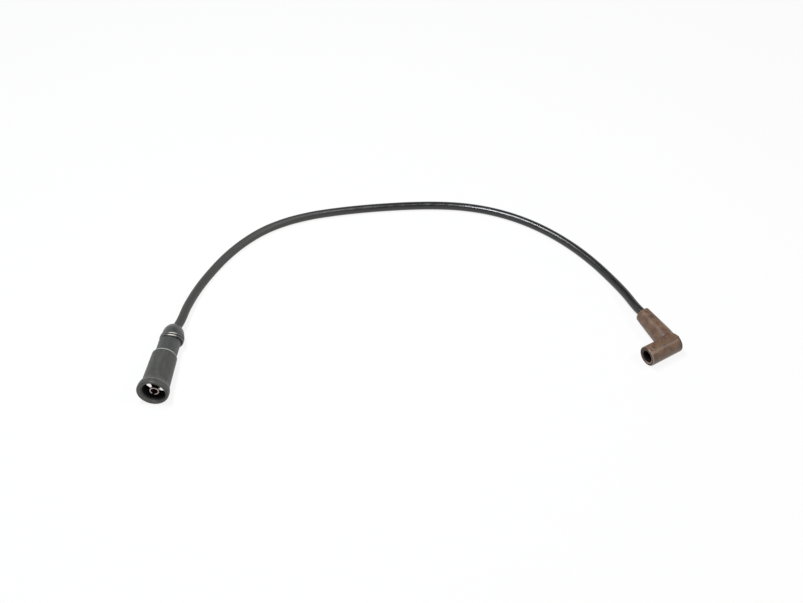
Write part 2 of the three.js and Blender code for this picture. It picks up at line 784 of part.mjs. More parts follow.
function buildLead() {
  const lead = new THREE.Group();
  const plug = plugFrame();
  const elbow = elbowFrame();
  const path = cableCurve(plug, elbow);
  const hole = cableLayer(path, CABLE_HOLE, 0);
  const plugHole = hole.clone().applyMatrix4(plug.matrixWorld.clone().invert());
  const elbowHole = hole.clone().applyMatrix4(elbow.matrixWorld.clone().invert());

  plug.add(
    piece("plug_sleeve", plugSleeve(), BLACK_RUBBER),
    piece("plug_housing", plugHousing(plugHole), BLACK_PLASTIC),
    piece("plug_seal_cap", sealCap(plugHole), BLACK_RUBBER),
    piece("plug_terminal", plugTerminal(), PLATED_STEEL),
    piece("terminal_bush", terminalBush(), BLACK_PLASTIC),
    piece("stem_retainer", stemRetainer(), SPRING_STEEL),
    piece("resistor_rod", resistorRod(), WHITE_CERAMIC),
    piece("resistor_front_cap", resistorCap(FRONT_CAP_START, 1), BRASS),
    piece("resistor_rear_cap", resistorCap(REAR_CAP_END, -1), BRASS),
    piece("contact_spring", contactSpring(), SPRING_STEEL),
    piece("contact_screw", contactScrew(), BRASS),
  );
  elbow.add(
    piece("elbow_boot", elbowBoot(elbowHole), BROWN_SILICONE),
    piece("elbow_terminal", elbowTerminal(), PLATED_STEEL),
    piece("elbow_snap_ring", snapRing(), SPRING_STEEL),
  );
  lead.add(
    plug,
    elbow,
    piece("cable_jacket", cableLayer(path, CABLE_RADIUS, JACKET_BORE), CABLE_RUBBER),
    piece("cable_braid", cableLayer(path, BRAID_RADIUS, BRAID_BORE), GLASS_BRAID),
    piece("cable_insulation", cableLayer(path, INSULATION_RADIUS, INSULATION_BORE), CREAM_RUBBER),
    piece("cable_core", cableCore(path, elbow), CARBON_CORE),
  );
  return lead;
}

export default buildLead();
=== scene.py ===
"""Looks of a spark plug wire: a black ignition lead with a straight connector and a brown elbow.

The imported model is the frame. The pieces below are built in the same millimetre sizes as its solids,
in the same places, with finer surfaces and the finishes that the photograph shows.
"""

import logging
import math
from collections.abc import Callable, Sequence
from dataclasses import dataclass
from enum import Enum

import bmesh
import bpy
import numpy as np
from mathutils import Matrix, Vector


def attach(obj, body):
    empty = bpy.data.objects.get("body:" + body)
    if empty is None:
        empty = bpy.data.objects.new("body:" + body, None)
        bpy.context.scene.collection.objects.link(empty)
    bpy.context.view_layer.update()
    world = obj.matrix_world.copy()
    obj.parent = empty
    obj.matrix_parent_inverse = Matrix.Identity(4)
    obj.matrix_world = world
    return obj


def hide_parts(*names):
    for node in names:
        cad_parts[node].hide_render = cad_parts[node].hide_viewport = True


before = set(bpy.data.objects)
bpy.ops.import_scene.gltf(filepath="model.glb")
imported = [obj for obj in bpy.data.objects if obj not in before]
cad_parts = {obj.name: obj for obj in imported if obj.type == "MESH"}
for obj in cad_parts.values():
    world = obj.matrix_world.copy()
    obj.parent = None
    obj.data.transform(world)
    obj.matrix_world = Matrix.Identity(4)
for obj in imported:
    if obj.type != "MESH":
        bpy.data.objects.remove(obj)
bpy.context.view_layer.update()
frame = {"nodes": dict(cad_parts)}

MM = 0.001
# Gap in millimetres that stands in for a press fit
CLEARANCE = 0.3
BODY = "root"
log = logging.getLogger("spark_plug_wire")

Point = tuple[float, float, float]
Placing = Callable[[np.ndarray], np.ndarray]
Warp = Callable[[np.ndarray, np.ndarray], np.ndarray]
Socket = bpy.types.NodeSocket


# Colours and nodes


def linear(hex_colour: str) -> tuple[float, float, float, float]:
    """Turn an sRGB hex colour into linear red, green, blue and alpha.

    Args:
        hex_colour: Six hex digits, with or without a leading hash.

    Returns:
        The linear colour with alpha 1.
    """
    digits = hex_colour.lstrip("#")
    channels = [int(digits[i : i + 2], 16) / 255 for i in (0, 2, 4)]
    red, green, blue = (c / 12.92 if c <= 0.04045 else ((c + 0.055) / 1.055) ** 2.4 for c in channels)
    return red, green, blue, 1.0


def add_node(
    tree: bpy.types.NodeTree,
    kind: str,
    settings: dict[str, object] | None = None,
    inputs: dict[str | int, object] | None = None,
) -> bpy.types.Node:
    """Add a node with its settings, and set or link its inputs.

    Args:
        tree: The node tree that takes the node.
        kind: The node's type name.
        settings: Attributes of the node itself.
        inputs: Values or output sockets by input name or index.

    Returns:
        The new node.
    """
    node = tree.nodes.new(kind)
    for name, value in (settings or {}).items():
        setattr(node, name, value)
    for key, value in (inputs or {}).items():
        if isinstance(value, Socket):
            tree.links.new(value, node.inputs[key])
        else:
            node.inputs[key].default_value = value
    return node


class MaterialBuilder:
    """A Principled material in the making, with its patterns measured in millimetres."""

    def __init__(self, name: str, **plain: float) -> None:
        """Make the material, its shader and its coordinates.

        Args:
            name: The material's name.
            plain: Shader inputs that are the same all over, with underscores for spaces.
        """
        self.material = bpy.data.materials.new(name)
        self.material.use_nodes = True
        self.tree = self.material.node_tree
        self.tree.nodes.clear()
        settings = {key.replace("_", " "): value for key, value in plain.items()}
        self.shader = add_node(self.tree, "ShaderNodeBsdfPrincipled", inputs=settings)
        add_node(self.tree, "ShaderNodeOutputMaterial", inputs={"Surface": self.shader.outputs["BSDF"]})
        place = add_node(self.tree, "ShaderNodeTexCoord").outputs["Object"]
        scaled = {"Vector": place, "Scale": (1 / MM, 1 / MM, 1 / MM)}
        self.place = add_node(self.tree, "ShaderNodeMapping", inputs=scaled).outputs["Vector"]

    def grains(
        self,
        size_mm: float,
        low: float = 0.0,
        high: float = 1.0,
        detail: float = 3.0,
        stretch: Point = (1.0, 1.0, 1.0),
        span: tuple[float, float] = (0.3, 0.7),
        where: Socket | None = None,
    ) -> Socket:
        """Make a cloudy pattern with grains of a real size.

        Args:
            size_mm: The size of one grain.
            low: The value in the pattern's low places.
            high: The value in its high places.
            detail: The number of finer octaves.
            stretch: Factors below 1 draw the grains out along that axis.
            span: The part of the noise that is mapped from low to high.
            where: Coordinates in millimetres, or the piece's own ones.

        Returns:
            The pattern's value.
        """
        drawn = {"Vector": where or self.place, "Scale": stretch}
        vector = add_node(self.tree, "ShaderNodeMapping", inputs=drawn).outputs["Vector"]
        inputs = {"Vector": vector, "Scale": 1 / size_mm, "Detail": detail, "Roughness": 0.55}
        noise = add_node(self.tree, "ShaderNodeTexNoise", inputs=inputs).outputs["Fac"]
        ends = {"Value": noise, 1: span[0], 2: span[1], 3: low, 4: high}
        return add_node(self.tree, "ShaderNodeMapRange", inputs=ends).outputs["Result"]

    def paint(self, body: str, layers: Sequence[tuple[Socket, str]]) -> None:
        """Colour the shader with a body colour and layers over it.

        Args:
            body: The body colour as sRGB hex.
            layers: For each layer, where it lies from 0 to 1 and its colour as sRGB hex.
        """
        colour: object = linear(body)
        for share, over in layers:
            inputs = {0: share, 6: colour, 7: linear(over)}
            colour = add_node(self.tree, "ShaderNodeMix", {"data_type": "RGBA"}, inputs).outputs[2]
        self.tree.links.new(colour, self.shader.inputs["Base Color"])

    def emboss(self, layers: Sequence[tuple[Socket, float]]) -> None:
        """Give the shader's normal a relief.

        Args:
            layers: For each relief, its height from 0 to 1 and its real depth in millimetres.
        """
        normal: Socket | None = None
        for height, depth_mm in layers:
            inputs: dict[str | int, object] = {"Height": height, "Distance": depth_mm * MM}
            inputs["Strength"] = 1.0
            if normal is not None:
                inputs["Normal"] = normal
            normal = add_node(self.tree, "ShaderNodeBump", inputs=inputs).outputs["Normal"]
        self.tree.links.new(normal, self.shader.inputs["Normal"])


# Finishes


@dataclass(frozen=True)
class MouldedRubber:
    """EPDM or silicone rubber from a steel mould: a satin skin with painted highlights and painted
    shade.
    """

    name: str
    body: str
    mottle: str
    # The painted highlight's colour, for edges and crests that catch the light
    painted_highlight: str
    roughness: float = 0.5
    level: float = 0.5
    # The filler clouds the colour over a few millimetres.
    cloud_mm: float = 5.0
    # Dirt is wiped along the part, so that the clouds are drawn out along it.
    stretch: Point = (1.0, 1.0, 1.0)
    # The mould's spark-eroded grain is about 0.3 mm and is drawn at 0.6 mm to show.
    grain_mm: float = 0.6
    grain_depth_mm: float = 0.02
    wave_depth_mm: float = 0.12
    # Painted shade: this colour darkens the corners, grooves and bores.
    painted_shade_colour: str = "#0b0b0b"

    def material(self) -> bpy.types.Material:
        """Build the rubber's material.

        Returns:
            The new material.
        """
        made = MaterialBuilder(self.name, Specular_IOR_Level=self.level)
        tree = made.tree
        wear_and_highlight, painted_shade = (
            add_node(tree, "ShaderNodeAttribute", {"attribute_name": name}).outputs["Fac"]
            for name in ("wear_and_highlight", "painted_shade")
        )
        cloud = made.grains(self.cloud_mm, stretch=self.stretch)
        inputs = {0: wear_and_highlight, 1: made.grains(1.2, 0.6, 1.0, 4.0)}
        painted_highlight = add_node(tree, "ShaderNodeMath", {"operation": "MULTIPLY"}, inputs).outputs[0]
        # Filler clouds, then the painted highlight and the painted shade over them
        made.paint(self.body, [(cloud, self.mottle), (painted_highlight, self.painted_highlight), (painted_shade, self.painted_shade_colour)])
        patch = made.grains(2.5, self.roughness - 0.05, self.roughness + 0.07, 2.0)
        inputs = {0: painted_shade, 2: patch, 3: 0.9}
        rough = add_node(tree, "ShaderNodeMix", {"data_type": "FLOAT"}, inputs).outputs[0]
        tree.links.new(rough, made.shader.inputs["Roughness"])
        wave, grain = made.grains(9.0, detail=1.0), made.grains(self.grain_mm, detail=2.0)
        made.emboss([(wave, self.wave_depth_mm), (grain, self.grain_depth_mm)])
        return made.material


@dataclass(frozen=True)
class ExtrudedJacket:
    """EPDM jacket drawn through a die: a glossy skin, paler and duller towards the straight connector.
    """

    name: str = "epdm_jacket_extruded"
    body: str = "#0b0b0b"
    clouded: str = "#131312"
    pale_stretch: str = "#2a2927"
    roughness: float = 0.25
    pale_stretch_roughness: float = 0.5
    level: float = 0.7
    # The paler, duller stretch fades out between these lengths along the cable.
    pale_stretch_ends_mm: tuple[float, float] = (150.0, 265.0)
    # The die's lines are about 0.2 mm apart and are drawn at 0.5 mm to show.
    line_mm: float = 0.5
    line_depth_mm: float = 0.03

    def material(self) -> bpy.types.Material:
        """Build the jacket's material.

        Returns:
            The new material.
        """
        made = MaterialBuilder(self.name, Specular_IOR_Level=self.level)
        tree = made.tree
        lay = add_node(tree, "ShaderNodeAttribute", {"attribute_name": "lay"}).outputs["Vector"]
        along = add_node(tree, "ShaderNodeSeparateXYZ", inputs={0: lay}).outputs[0]
        first, last = self.pale_stretch_ends_mm
        ends = {"Value": along, 1: first, 2: last, 3: 1.0, 4: 0.0}
        paling = add_node(tree, "ShaderNodeMapRange", inputs=ends).outputs["Result"]
        made.paint(self.body, [(made.grains(14.0, detail=4.0), self.clouded), (paling, self.pale_stretch)])
        patch = made.grains(6.0, self.roughness - 0.04, self.roughness + 0.08)
        inputs = {0: paling, 2: patch, 3: self.pale_stretch_roughness}
        rough = add_node(tree, "ShaderNodeMix", {"data_type": "FLOAT"}, inputs).outputs[0]
        tree.links.new(rough, made.shader.inputs["Roughness"])
        lines = made.grains(self.line_mm, detail=2.0, stretch=(0.02, 1.0, 1.0), where=lay)
        made.emboss([(made.grains(11.0, detail=1.0), 0.05), (lines, self.line_depth_mm)])
        return made.material


@dataclass(frozen=True)
class MouldedPlastic:
    """Glass-filled nylon from a mould: a hard satin skin with faint flow marks along the part."""

    name: str = "nylon_moulded_black"
    body: str = "#313230"
    flow: str = "#40413f"
    roughness: float = 0.45
    level: float = 0.5
    # The mould's texture is about 0.2 mm and is drawn at 0.5 mm to show.
    grain_mm: float = 0.5

    def material(self) -> bpy.types.Material:
        """Build the plastic's material.

        Returns:
            The new material.
        """
        made = MaterialBuilder(self.name, Specular_IOR_Level=self.level)
        made.paint(self.body, [(made.grains(4.0, detail=4.0, stretch=(1.0, 0.3, 1.0)), self.flow)])
        rough = made.grains(3.0, self.roughness - 0.05, self.roughness + 0.07)
        made.tree.links.new(rough, made.shader.inputs["Roughness"])
        grain = made.grains(self.grain_mm, detail=2.0)
        made.emboss([(made.grains(8.0, detail=1.0), 0.08), (grain, 0.02)])
        return made.material


@dataclass(frozen=True)
class Metal:
    """A bare or plated metal: mirror-like in small patches, duller where it is handled or drawn."""

    name: str
    body: str
    tarnish: str
    roughness: float
    polished: str = "#f4f2ee"
    # Handling marks and drawing scratches are about 0.1 mm and are drawn at 0.3 mm to show.
    scratch_mm: float = 0.3
    scratch_depth_mm: float = 0.008

    def material(self) -> bpy.types.Material:
        """Build the metal's material.

        Returns:
            The new material.
        """
        made = MaterialBuilder(self.name, Metallic=1.0)
        stain = made.grains(2.0, detail=4.0, span=(0.45, 0.75))
        wear_and_highlight = add_node(made.tree, "ShaderNodeAttribute", {"attribute_name": "wear_and_highlight"}).outputs["Fac"]
        made.paint(self.body, [(stain, self.tarnish), (wear_and_highlight, self.polished)])
        inputs = {0: wear_and_highlight, 2: made.grains(1.5, self.roughness - 0.05, self.roughness + 0.12), 3: 0.12}
        rough = add_node(made.tree, "ShaderNodeMix", {"data_type": "FLOAT"}, inputs).outputs[0]
        made.tree.links.new(rough, made.shader.inputs["Roughness"])
        marks = made.grains(self.scratch_mm, stretch=(1.0, 0.15, 1.0))
        made.emboss([(marks, self.scratch_depth_mm)])
        return made.material


@dataclass(frozen=True)
class Ceramic:
    """Unglazed white alumina: a dull fine-grained body with a few grey specks."""

    name: str = "alumina_unglazed"
    body: str = "#e6e2d8"
    speck: str = "#b9b2a4"

    def material(self) -> bpy.types.Material:
        """Build the ceramic's material.

        Returns:
            The new material.
        """
        made = MaterialBuilder(self.name, Roughness=0.6)
        made.paint(self.body, [(made.grains(0.5, span=(0.62, 0.72)), self.speck)])
        made.emboss([(made.grains(0.3), 0.02)])
        return made.material


@dataclass(frozen=True)
class WovenBraid:
    """Glass yarn braided round the insulation: a dull diagonal weave of crossing strands."""

    name: str = "glass_yarn_braided"
    strand: str = "#d8d4c6"
    gap: str = "#8d887a"
    # Braid strands on a 7 mm lead cross about every 1.5 mm.
    pitch_mm: float = 1.5

    def material(self) -> bpy.types.Material:
        """Build the braid's material.

        Returns:
            The new material.
        """
        made = MaterialBuilder(self.name, Roughness=0.85, Sheen_Weight=0.3)
        crossing = []
        for angle in (math.radians(45), math.radians(-45)):
            inputs = {"Vector": made.place, "Rotation": (angle, 0.0, angle)}
            turned = add_node(made.tree, "ShaderNodeMapping", inputs=inputs).outputs["Vector"]
            inputs = {"Vector": turned, "Scale": 1 / self.pitch_mm}
            crossing.append(add_node(made.tree, "ShaderNodeTexWave", inputs=inputs).outputs["Fac"])
        inputs = {0: crossing[0], 1: crossing[1]}
        weave = add_node(made.tree, "ShaderNodeMath", {"operation": "MAXIMUM"}, inputs).outputs[0]
        made.paint(self.gap, [(weave, self.strand)])
        made.emboss([(weave, 0.15)])
        return made.material


ALONG_PLUG = (1.0, 0.22, 1.0)
# A dull satin skin with faint streaks along the connector, a painted highlight along its top edge and
# painted shade in its well
BLACK_RUBBER = MouldedRubber(
    "epdm_moulded_black", "#30312e", "#42433f", "#b6b6ae", cloud_mm=2.6, stretch=ALONG_PLUG
)
# A smoother, glossier skin than the sleeve's, with painted highlights on its crests and painted shade
# in its grooves
CAP_RUBBER = MouldedRubber(
    "epdm_cap_moulded_black",
    "#252624",
    "#343532",
    "#d2cec2",
    0.34,
    0.9,
    3.0,
    ALONG_PLUG,
    wave_depth_mm=0.05,
    grain_depth_mm=0.008,
)
# A satin brown skin, clouded with a lighter brown over a few millimetres, with painted shade in its
# corners, crease and groove and a painted highlight on its mouth's rim
BROWN_SILICONE = MouldedRubber(
    "silicone_moulded_brown",
    "#4c3426",
    "#70553f",
    "#bcab9c",
    0.4,
    0.6,
    5.0,
    grain_mm=0.7,
    wave_depth_mm=0.15,
    grain_depth_mm=0.012,
    painted_shade_colour="#191614",
)
# A darker, duller copy of the same rubber for the inside of the bore: painted shade
BORE_SILICONE = MouldedRubber(
    "silicone_bore_shaded",
    "#1d1612",
    "#2b211b",
    "#3a2e26",
    0.8,
    0.1,
    3.0,
    grain_depth_mm=0.012,
    painted_shade_colour="#15100d",
)
# Chalky cream rubber and dull black yarn, both inside the cable
CREAM_INSULATION = MouldedRubber("epdm_insulation_cream", "#c9c0a8", "#bdb398", "#dcd5c2", 0.7)
CARBON_CORE = MouldedRubber("carbon_yarn_core", "#1c1c1d", "#242425", "#3c3c3d", 0.8)
# Soft grey tin with a warm tinge, near white where the plug's tip polishes it
TINNED_STEEL = Metal("steel_tinned_sheet", "#b3a39f", "#8c7a76", 0.3)
POLISHED_TIN = Metal("steel_tinned_polished", "#f4f2ee", "#d9d8d4", 0.14)
# Bright drawn wire, and yellow metal with brown stains from the lathe's oil
SPRING_STEEL = Metal("spring_steel_drawn", "#a7a7a5", "#77726c", 0.32)
TURNED_BRASS = Metal("brass_turned", "#c3a05f", "#8c6c3a", 0.3)


# Mesh making


@dataclass(frozen=True)
class Corner:
    """One corner of a turned outline, in millimetres.

    The wear_and_highlight mark (wear on metal, a painted highlight on rubber) and the painted_shade
    mark run from 0 to 1 and steer the finish, and follow is the share of the piece's lean that the
    corner takes.
    """

    radius: float
    station: float
    fillet: float = 0.0
    wear_and_highlight: float = 0.0
    painted_shade: float = 0.0
    follow: float = 1.0

    def row(self, radius: float, station: float) -> tuple[float, ...]:
        """Give a row of the outline that has this corner's marks."""
        return radius, station, self.wear_and_highlight, self.painted_shade, self.follow


def rounded_outline(corners: Sequence[Corner], closed: bool, step: float = 1.2) -> np.ndarray:
    """Round the corners of an outline and split its long straights.

    Args:
        corners: The outline's corners in order.
        closed: Whether the last corner joins the first.
        step: The longest straight left in one piece, in millimetres.

    Returns:
        Rows of radius, station, wear and highlight, painted shade and follow.
    """
    count = len(corners)
    rows: list[tuple[float, ...]] = []
    for i, corner in enumerate(corners):
        here = np.array([corner.radius, corner.station])
        if corner.fillet <= 0 or (not closed and i in (0, count - 1)):
            rows.append(corner.row(*here))
            continue
        ends = []
        for other in (corners[i - 1], corners[(i + 1) % count]):
            way = np.array([other.radius, other.station]) - here
            length = float(np.linalg.norm(way))
            ends.append(here + way / length * min(corner.fillet, 0.48 * length))
        for t in np.linspace(0, 1, 6):
            rows.append(corner.row(*((1 - t) ** 2 * ends[0] + 2 * t * (1 - t) * here + t**2 * ends[1])))
    if closed:
        rows.append(rows[0])
    split: list[np.ndarray] = []
    for start, end in zip(np.array(rows), np.array(rows[1:])):
        pieces = max(1, math.ceil(float(np.linalg.norm(end[:2] - start[:2])) / step))
        split.extend(start + (end - start) * k / pieces for k in range(pieces))
    if not closed:
        split.append(np.array(rows[-1]))
    return np.array(split)


def object_of(
    name: str, mesh: bpy.types.Mesh, material: bpy.types.Material | None = None
) -> bpy.types.Object:
    """Put a mesh in the scene.

    Args:
        name: The piece's name.
        mesh: The finished mesh.
        material: The piece's material, or none for a working solid.

    Returns:
        The new object.
    """
    if material is not None:
        mesh.materials.append(material)
    piece = bpy.data.objects.new(name, mesh)
    bpy.context.scene.collection.objects.link(piece)
    return piece


def mesh_of(name: str, made: bmesh.types.BMesh) -> bpy.types.Mesh:
    """Close a mesh in the making: its faces turn out and are smooth.

    Args:
        name: The mesh's name.
        made: The mesh in the making, which is freed.

    Returns:
        The mesh.
    """
    bmesh.ops.recalc_face_normals(made, faces=made.faces)
    for face in made.faces:
        face.smooth = True
    mesh = bpy.data.meshes.new(name)
    made.to_mesh(mesh)
    made.free()
    return mesh


def add_grid(
    made: bmesh.types.BMesh,
    points: np.ndarray,
    wrap_rows: bool = False,
    wrap_columns: bool = True,
    marks: np.ndarray | None = None,
    lay: np.ndarray | None = None,
) -> None:
    """Add rows and columns of points with quads between them, and close its open ends.

    Args:
        made: The mesh in the making.
        points: Positions in metres, by row and column.
        wrap_rows: Whether the last row joins the first.
        wrap_columns: Whether the last column joins the first.
        marks: The wear-and-highlight and the painted shade for each row.
        lay: A vector for each point, for patterns that follow the piece.
    """
    rows, columns = points.shape[:2]
    floats, vectors = made.verts.layers.float, made.verts.layers.float_vector
    layers = [floats.get(name) or floats.new(name) for name in ("wear_and_highlight", "painted_shade")]
    lay_layer = vectors.get("lay") or vectors.new("lay")
    verts = [made.verts.new(point) for point in points.reshape(-1, 3)]
    for k, vert in enumerate(verts):
        for layer, value in zip(layers, (0.0, 0.0) if marks is None else marks[k // columns]):
            vert[layer] = float(value)
        vert[lay_layer] = (0.0, 0.0, 0.0) if lay is None else lay[k // columns, k % columns]
    for i in range(rows if wrap_rows else rows - 1):
        for j in range(columns if wrap_columns else columns - 1):
            k, n = (i + 1) % rows, (j + 1) % columns
            corners = ((i, j), (i, n), (k, n), (k, j))
            made.faces.new([verts[row * columns + column] for row, column in corners])
    bmesh.ops.remove_doubles(made, verts=verts, dist=1e-6)
    if wrap_rows and not wrap_columns:
        bmesh.ops.holes_fill(made, edges=[edge for edge in made.edges if edge.is_boundary])


def add_turned(
    made: bmesh.types.BMesh,
    corners: Sequence[Corner],
    place: Placing,
    closed: bool = True,
    segments: int = 96,
    warp: Warp | None = None,
    arc: tuple[float, float] | None = None,
) -> None:
    """Add an outline turned about the local Y axis.

    Args:
        made: The mesh in the making.
        corners: The outline's corners.
        place: Carries local millimetres to metres in the part's frame.
        closed: Whether the outline closes on itself.
        segments: The number of columns round the axis.
        warp: A change of the local points, which is told the share that each row follows.
        arc: The first and last angle in radians from local Z towards X, or none for a full turn.
    """
    outline = rounded_outline(corners, closed)
    first, last = arc or (0.0, 2 * math.pi)
    angles = np.linspace(first, last, segments, endpoint=arc is not None)
    radius, station = outline[:, :1], outline[:, 1:2]
    points = np.stack([radius * np.sin(angles), station + 0 * angles, radius * np.cos(angles)], axis=-1)
    if warp is not None:
        points = warp(points, outline[:, 4:5])
    add_grid(made, place(points), wrap_rows=closed, wrap_columns=arc is None, marks=outline[:, 2:4])


def turned_mesh(
    name: str, corners: Sequence[Corner], place: Placing, **options: object
) -> bpy.types.Mesh:
    """Turn one outline into a mesh.

    Args:
        name: The mesh's name.
        corners: The outline's corners.
        place: Carries local millimetres to metres in the part's frame.
        options: The further arguments of add_turned.

    Returns:
        The mesh.
    """
    made = bmesh.new()
    add_turned(made, corners, place, **options)
    return mesh_of(name, made)


def add_plate(
    made: bmesh.types.BMesh, outline: Sequence[Point], across: Point, place: Placing
) -> None:
    """Add a plate with a flat outline.

    Args:
        made: The mesh in the making.
        outline: The middle of the plate's edge, in local millimetres.
        across: Half the plate's thickness as a local vector.
        place: Carries local millimetres to metres in the part's frame.
    """
    edge, half = np.array(outline), np.array(across)
    low, high = ([made.verts.new(p) for p in place(edge + sign * half)] for sign in (-1, 1))
    made.faces.new(low)
    made.faces.new(high)
    for i in range(len(low)):
        k = (i + 1) % len(low)
        made.faces.new([low[i], low[k], high[k], high[i]])


def smooth_curve(route: Sequence[Sequence[float]], steps: int) -> np.ndarray:
    """Run a centripetal spline through a route and space it evenly.

    Args:
        route: The points that the curve passes through.
        steps: The number of even steps along it.

    Returns:
        The curve's points.
    """
    way = np.array(route, float)
    way = np.vstack([2 * way[0] - way[1], way, 2 * way[-1] - way[-2]])
    # The knot spans that each round of the spline's pyramid blends over
    rounds = (((0, 1), (1, 2), (2, 3)), ((0, 2), (1, 3)), ((1, 2),))
    fine = []
    for i in range(1, len(way) - 2):
        four = way[i - 1 : i + 3]
        gaps = np.sqrt(np.linalg.norm(np.diff(four, axis=0), axis=1))
        knots = np.concatenate([[0.0], np.cumsum(gaps)])
        for t in np.linspace(knots[1], knots[2], 24, endpoint=False):
            level = list(four)
            for spans in rounds:
                shares = [(t - knots[low]) / (knots[high] - knots[low]) for low, high in spans]
                level = [level[k] + (level[k + 1] - level[k]) * share for k, share in enumerate(shares)]
            fine.append(level[0])
    fine.append(way[-2])
    line = np.array(fine)
    reach = run_of(line)
    even = np.linspace(0, reach[-1], steps + 1)
    return np.stack([np.interp(even, reach, line[:, k]) for k in range(3)], axis=1)


def run_of(line: np.ndarray) -> np.ndarray:
    """Give the length along a line of points up to each point."""
    return np.concatenate([[0.0], np.cumsum(np.linalg.norm(np.diff(line, axis=0), axis=1))])


def finish_piece(piece: bpy.types.Object, node: str) -> None:
    """Fix a finished piece to the frame in place of its solid.

    Args:
        piece: The piece, already in place.
        node: The CAD node that it stands for.
    """
    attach(piece, BODY)
    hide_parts(node)
    log.info("%s: %d faces", piece.name, len(piece.data.polygons))


# Where the pieces lie


@dataclass(frozen=True)
class Frame:
    """A local frame in millimetres: its origin and its three axes in the part's frame."""

    origin: Point
    x_axis: Point
    y_axis: Point
    z_axis: Point

    @property
    def axes(self) -> np.ndarray:
        """The three axes as rows."""
        return np.array([self.x_axis, self.y_axis, self.z_axis])

    def place(self, points: np.ndarray) -> np.ndarray:
        """Carry local millimetre points to the part's frame in metres."""
        return (np.asarray(points) @ self.axes + np.array(self.origin)) * MM

    def local(self, points: np.ndarray) -> np.ndarray:
        """Carry points in metres back to local millimetres."""
        return (points / MM - np.array(self.origin)) @ self.axes.T

    def within(self, inner: "Frame") -> "Frame":
        """Carry a frame that is given in this one to the part's frame."""
        axes = (tuple(axis) for axis in inner.axes @ self.axes)
        return Frame(tuple(self.place(np.array(inner.origin)) / MM), *axes)


def heading_frame(mouth: tuple[float, float], height: float, heading: float, tilt: float) -> Frame:
    """Make a connector's frame: local Y runs from its mouth along its axis.

    Args:
        mouth: The mouth's place on the floor plan, in millimetres.
        height: The axis's height at the mouth, in millimetres.
        heading: Degrees from +Y towards +X.
        tilt: How far the axis dips away from the mouth, in radians.

    Returns:
        The frame.
    """
    turn = math.radians(heading)
    along = (math.sin(turn) * math.cos(tilt), math.cos(turn) * math.cos(tilt), -math.sin(tilt))
    side = (math.cos(turn), -math.sin(turn), 0.0)
    up = (math.sin(turn) * math.sin(tilt), math.cos(turn) * math.sin(tilt), math.cos(tilt))
    return Frame((mouth[0], mouth[1], height), side, along, up)


